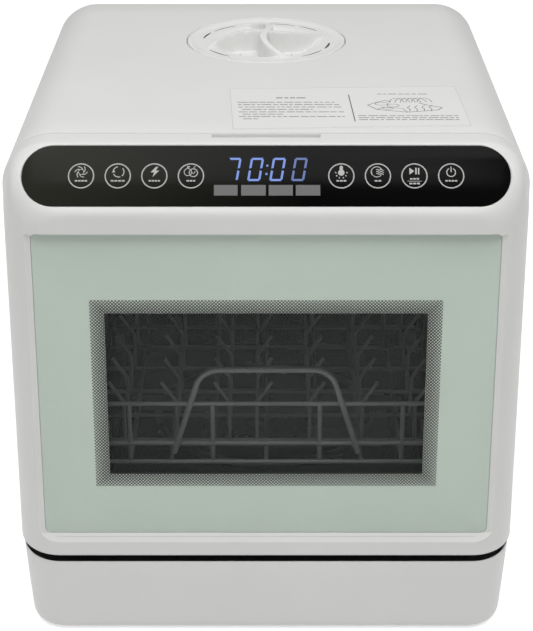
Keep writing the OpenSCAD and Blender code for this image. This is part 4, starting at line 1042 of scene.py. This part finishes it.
def face_stroke(parts, pts, w, u0=0.0, v0=0.0, taper=1.0):
    """A line of even width along points on the control face."""
    pts = np.array(pts, float)
    d = np.gradient(pts, axis=0)
    d /= np.maximum(np.hypot(d[:, 0], d[:, 1]), 1e-6)[:, None]
    nrm = np.stack([-d[:, 1], d[:, 0]], 1)
    half = np.linspace(w, w * taper, len(pts))[:, None] / 2
    a, b = pts + nrm * half, pts - nrm * half
    rings = []
    for p, q in zip(a, b):
        rings.append([on_facet(u0 + c[0], v0 + c[1], FACE_OUT + h)
                      for c, h in ((p, -0.03), (q, -0.03), (q, 0.05), (p, 0.05))])
    add_mesh(parts, *loft(rings))


def arc(r, a0, a1, steps=16, at=(0, 0)):
    return [(at[0] + r * math.cos(math.radians(a0 + (a1 - a0) * k / steps)),
             at[1] + r * math.sin(math.radians(a0 + (a1 - a0) * k / steps))) for k in range(steps + 1)]


def key_rings():
    """Geometry Nodes: one ring per key, repeated along the control face."""
    tree, n, l, gi, go = new_tree("key_rings", "Ring Radius", "Line Width")
    ring, line = n.new("GeometryNodeCurvePrimitiveCircle"), n.new("GeometryNodeCurvePrimitiveQuadrilateral")
    ring.inputs["Resolution"].default_value = 72
    l.new(gi.outputs["Ring Radius"], ring.inputs["Radius"])
    l.new(gi.outputs["Line Width"], line.inputs["Width"])
    line.inputs["Height"].default_value = 0.00008
    sweep, spots = n.new("GeometryNodeCurveToMesh"), n.new("GeometryNodeInstanceOnPoints")
    l.new(ring.outputs["Curve"], sweep.inputs["Curve"])
    l.new(line.outputs["Curve"], sweep.inputs["Profile Curve"])
    l.new(gi.outputs["Geometry"], spots.inputs["Points"])
    l.new(sweep.outputs["Mesh"], spots.inputs["Instance"])
    spots.inputs["Rotation"].default_value = (math.radians(90) - TILT, 0, 0)
    end_tree(n, l, spots.outputs["Instances"], go, MARK)
    spots_at = [tuple(0.001 * c for c in on_facet(x, 0, FACE_OUT + 0.01)) for x in KEY_X]
    sizes = {"Ring Radius": 0.0098, "Line Width": 0.0010}
    return turn_outwards(grow_piece("key_rings", spots_at, [], tree, sizes))


KEY_X = (-144.2, -115.6, -87.1, -58.6, 58.6, 87.1, 115.6, 144.2)
DASH_ROWS = (10.2, 11.4, 9.4, 7.4, 8.2, 5.6, 9, 9.8)


def key_symbols():
    parts = []
    up = 3.3
    # swirl of six blades
    x = KEY_X[0]
    for k in range(6):
        blade = []
        for q in range(9):
            t, r = math.radians(k * 60 + 62 * q / 8), 2.0 + 2.9 * (q / 8) ** 0.8
            blade.append((r * math.cos(t), r * math.sin(t)))
        face_stroke(parts, blade, 0.75, x, up, 0.8)
    face_stroke(parts, arc(2.1, 0, 360, 28), 0.45, x, up)
    # three arcs that chase each other
    x = KEY_X[1]
    for a0, a1 in ((100, 178), (-52, 42), (205, 290)):
        face_stroke(parts, arc(4.2, a0, a1), 0.75, x + 0.6, up)
    face_prism(parts, [(-1.4, 0), (1.4, 0.4), (0.2, 2.0)], x - 3.3, up - 0.6)
    # bolt
    x = KEY_X[2]
    bolt = [(0.9, 4.2), (-3.3, -0.4), (-0.4, -0.4), (-1.8, -4.2), (3.5, 1.1), (0.6, 1.1), (2.9, 4.2)]
    face_prism(parts, bolt, x + 0.3, up)
    # two fruits
    x = KEY_X[3]
    face_stroke(parts, arc(2.9, 40, 400, 24, (-2.4, -0.2)), 0.55, x, up)
    face_stroke(parts, arc(3.2, 0, 360, 26, (1.9, -0.7)), 0.7, x, up)
    face_stroke(parts, [(-2.6, 2.6), (-2.9, 4.2), (-2.0, 4.9)], 0.55, x, up)
    face_stroke(parts, [(-2.4, 3.6), (-0.8, 4.4)], 0.8, x, up)
    face_stroke(parts, [(1.9, 2.4), (2.4, 4.0), (3.6, 4.4)], 0.55, x, up)
    face_stroke(parts, [(0.9, -0.6), (2.0, -1.6), (3.4, 0.6)], 0.6, x, up)
    # lamp with rays
    x = KEY_X[4]
    face_prism(parts, arc(2.5, 0, 345, 23), x, up - 0.6)
    face_prism(parts, [(-1.25, 1.5), (1.25, 1.5), (1.25, 4.3), (0.5, 5.0), (-0.5, 5.0), (-1.25, 4.3)], x, up)
    for a in (180, 0, 216, 324, 250, 290):
        c, s = math.cos(math.radians(a)), math.sin(math.radians(a))
        face_stroke(parts, [(3.9 * c, 3.9 * s), (5.0 * c, 5.0 * s)], 0.9, x, up - 0.6)
    # warm air
    x = KEY_X[5]
    face_stroke(parts, arc(4.2, 30, 330, 26, (-0.8, 0)), 0.6, x, up)
    face_stroke(parts, arc(3.6, 95, 265, 18, (-1.8, 0)), 0.5, x, up)
    for v in (1.6, 0.0, -1.6):
        face_stroke(parts, [(-1.2 + q * 0.45, v + 0.45 * math.sin(q * 0.9)) for q in range(14)], 0.6, x, up)
    # start and pause
    x = KEY_X[6]
    face_prism(parts, [(-3.9, -2.7), (0.0, 0.0), (-3.9, 2.7)], x, up + 0.6)
    for u in (1.2, 3.3):
        face_prism(parts, [(u - 0.55, -2.7), (u + 0.55, -2.7), (u + 0.55, 2.7), (u - 0.55, 2.7)], x, up + 0.6)
    # power
    x = KEY_X[7]
    face_stroke(parts, arc(3.4, 118, 422, 26), 0.75, x, up - 0.4)
    face_stroke(parts, [(0, 0.2), (0, 4.6)], 0.8, x, up - 0.4)
    # plain dashes under the symbols
    for k, x in enumerate(KEY_X):
        rows = ((-2.4, 7.6), (-6.2, 8.8)) if k == 6 else ((-4.0, DASH_ROWS[k]),)
        for v, w in rows:
            dashes = max(2, round(w / 2.6))
            step = w / dashes
            for q in range(dashes):
                lo = -w / 2 + q * step + 0.3
                hi = lo + step - 0.6
                face_prism(parts, [(lo, -0.6), (hi, -0.6), (hi, 0.6), (lo, 0.6)], x, v)
        if k == 6:
            face_stroke(parts, [(-5.6, 0), (5.6, 0)], 0.4, x, -4.3)
    return turn_outwards(join_shapes("key_symbols", parts, MARK))


SEGMENTS = {"7": "abc", "0": "abcdef"}


def digit(parts, figure, u0):
    """A slanted figure made of lit bars, in a cell whose lower left corner is at u0."""
    w, h, t, slant = 10.2, 19.0, 1.7, math.tan(math.radians(9.5))
    lines = {"a": ((0, h), (w, h)), "b": ((w, h), (w, h / 2)), "c": ((w, h / 2), (w, 0)),
             "d": ((0, 0), (w, 0)), "e": ((0, 0), (0, h / 2)), "f": ((0, h / 2), (0, h))}
    for name in SEGMENTS[figure]:
        (x0, y0), (x1, y1) = lines[name]
        if name in "ad":
            y = y0 + {"a": -t / 2, "d": t / 2}[name]
            lo, hi, cut = x0 + 0.7, x1 - 0.7, t * 0.7
            ring = [(lo, y + t / 2), (hi, y + t / 2), (hi - cut, y - t / 2), (lo + cut, y - t / 2)]
            if name == "d":
                ring = [(a, 2 * y - b) for a, b in ring]
        else:
            lo, hi = min(y0, y1) + 0.75, max(y0, y1) - 0.75
            x = x0 + (t / 2 if x0 == 0 else -t / 2)
            ring = [(x - t / 2, lo), (x + t / 2, lo + 0.5), (x + t / 2, hi - 0.5), (x - t / 2, hi)]
        face_prism(parts, [(a + b * slant, b) for a, b in ring], u0, -4.2)


def display():
    lit, dim, blocks = [], [], []
    for figure, u in (("7", -32.4), ("0", -14.9), ("0", 2.3)):
        digit(lit, figure, u)
    digit(dim, "0", 19.3)
    for v in (1.6, 8.4):
        face_prism(lit, arc(0.9, 0, 330, 11), 0.1 + v * 0.1, v)
    for u0, u1 in ((-40.6, -22.2), (-19.4, -0.3), (2.0, 20.8), (23.1, 42.1)):
        face_prism(blocks, [(u0, -16.0), (u1, -16.0), (u1, -7.4), (u0, -7.4)])
    place_joined("display_digits", lit, DIGITS, "door", "print")
    place_joined("display_digit_dim", dim, DIGITS_DIM, "door", "print")
    place_joined("display_blocks", blocks, MARK_DIM, "door", "print")


place(key_rings(), "door", "print")
place(key_symbols(), "door", "print")
display()


# ---- Dish rack ----

def wire_tree():
    """Geometry Nodes: round wire along every edge path, with rounded bends and capped ends."""
    tree, n, l, gi, go = new_tree("rack_wire", "Wire Radius", "Bend Radius")
    path, bend = n.new("GeometryNodeMeshToCurve"), n.new("GeometryNodeFilletCurve")
    bend.mode = "POLY"
    bend.inputs["Count"].default_value = 5
    bend.inputs["Limit Radius"].default_value = True
    l.new(gi.outputs["Geometry"], path.inputs["Mesh"])
    l.new(path.outputs["Curve"], bend.inputs["Curve"])
    l.new(gi.outputs["Bend Radius"], bend.inputs["Radius"])
    ring, sweep = n.new("GeometryNodeCurvePrimitiveCircle"), n.new("GeometryNodeCurveToMesh")
    ring.inputs["Resolution"].default_value = 12
    l.new(gi.outputs["Wire Radius"], ring.inputs["Radius"])
    l.new(bend.outputs["Curve"], sweep.inputs["Curve"])
    l.new(ring.outputs["Curve"], sweep.inputs["Profile Curve"])
    sweep.inputs["Fill Caps"].default_value = True
    end_tree(n, l, sweep.outputs["Mesh"], go, WIRE)
    return tree


WIRE_TREE = wire_tree()


def wire_piece(name, paths, radius, bend):
    """Wires along paths of points in millimetres. A path whose ends meet becomes a ring."""
    verts, edges = [], []
    for path in paths:
        start, closed = len(verts), path[0] == path[-1]
        pts = path[:-1] if closed else path
        verts += [tuple(0.001 * c for c in p) for p in pts]
        edges += [(start + k, start + k + 1) for k in range(len(pts) - 1)]
        if closed:
            edges.append((start + len(pts) - 1, start))
    sizes = {"Wire Radius": radius * 0.001, "Bend Radius": bend * 0.001}
    piece = grow_piece(name, verts, edges, WIRE_TREE, sizes)
    finish_shading(piece, 50)
    return turn_outwards(piece)


RACK_W, RACK_Y0, RACK_Y1, RACK_Z = 153.0, -152.0, 128.0, 126.0
RAIL_LOW, RAIL = 144.0, 182.0
ROWS = [-119 + 48 * k for k in range(5)]
LEFT_TINES, RIGHT_TINES = (-32, -78, -124), (-8, 38, 84, 130)


def make_rack():
    paths = []
    for z in (RACK_Z, RAIL_LOW, RAIL):
        ring = [(-RACK_W, RACK_Y0, z), (RACK_W, RACK_Y0, z), (RACK_W, RACK_Y1, z), (-RACK_W, RACK_Y1, z)]
        paths.append(ring + ring[:1])
    for x in (-117, -46, 46, 117):
        hook = RAIL + 1.6
        paths.append([(x, RACK_Y0, hook), (x, RACK_Y0, RACK_Z), (x, RACK_Y1, RACK_Z), (x, RACK_Y1, hook)])
    for x in (-82, 0, 82):
        paths.append([(x, RACK_Y0, RACK_Z), (x, RACK_Y1, RACK_Z)])
    for x in (-RACK_W, RACK_W):
        for y in (ROWS[0] - 12, ROWS[0] + 57.6, ROWS[0] + 124.8, ROWS[0] + 187.2, RACK_Y1, RACK_Y0):
            paths.append([(x, y, RACK_Z), (x, y, RAIL + 1.2)])
    place(wire_piece("rack_wires", paths, 2.0, 6.0), "rack", "coated_wire", "rack_frame")
    z0, bend_z, tip_z = RACK_Z + 3.7, RACK_Z + 41, RACK_Z + 60.2
    rows, tines = [], []
    for y in ROWS:
        rows.append([(-RACK_W + 2.1, y, z0), (RACK_W - 2.1, y, z0)])
        for x in LEFT_TINES + RIGHT_TINES:
            lean = -13 if x in LEFT_TINES else 13
            tines.append([(x, y, z0), (x, y, bend_z), (x + lean, y, tip_z)])
    place(wire_piece("tine_rows", rows, 2.0, 1.0), "rack", "coated_wire")
    place(wire_piece("tine_wires", tines, 1.75, 9.0), "rack", "coated_wire", "rack_tines")
    y, top, foot = -156.1, RACK_Z + 90, 79
    lean = (top - RAIL_LOW + 7) * math.tan(math.radians(17))
    hoop = [(-foot, y, RAIL_LOW - 7), (-foot + lean, y, top), (foot - lean, y, top), (foot, y, RAIL_LOW - 7)]
    place(wire_piece("handle_wire", [hoop], 2.5, 20.0), "rack", "coated_wire", "rack_handle")


make_rack()
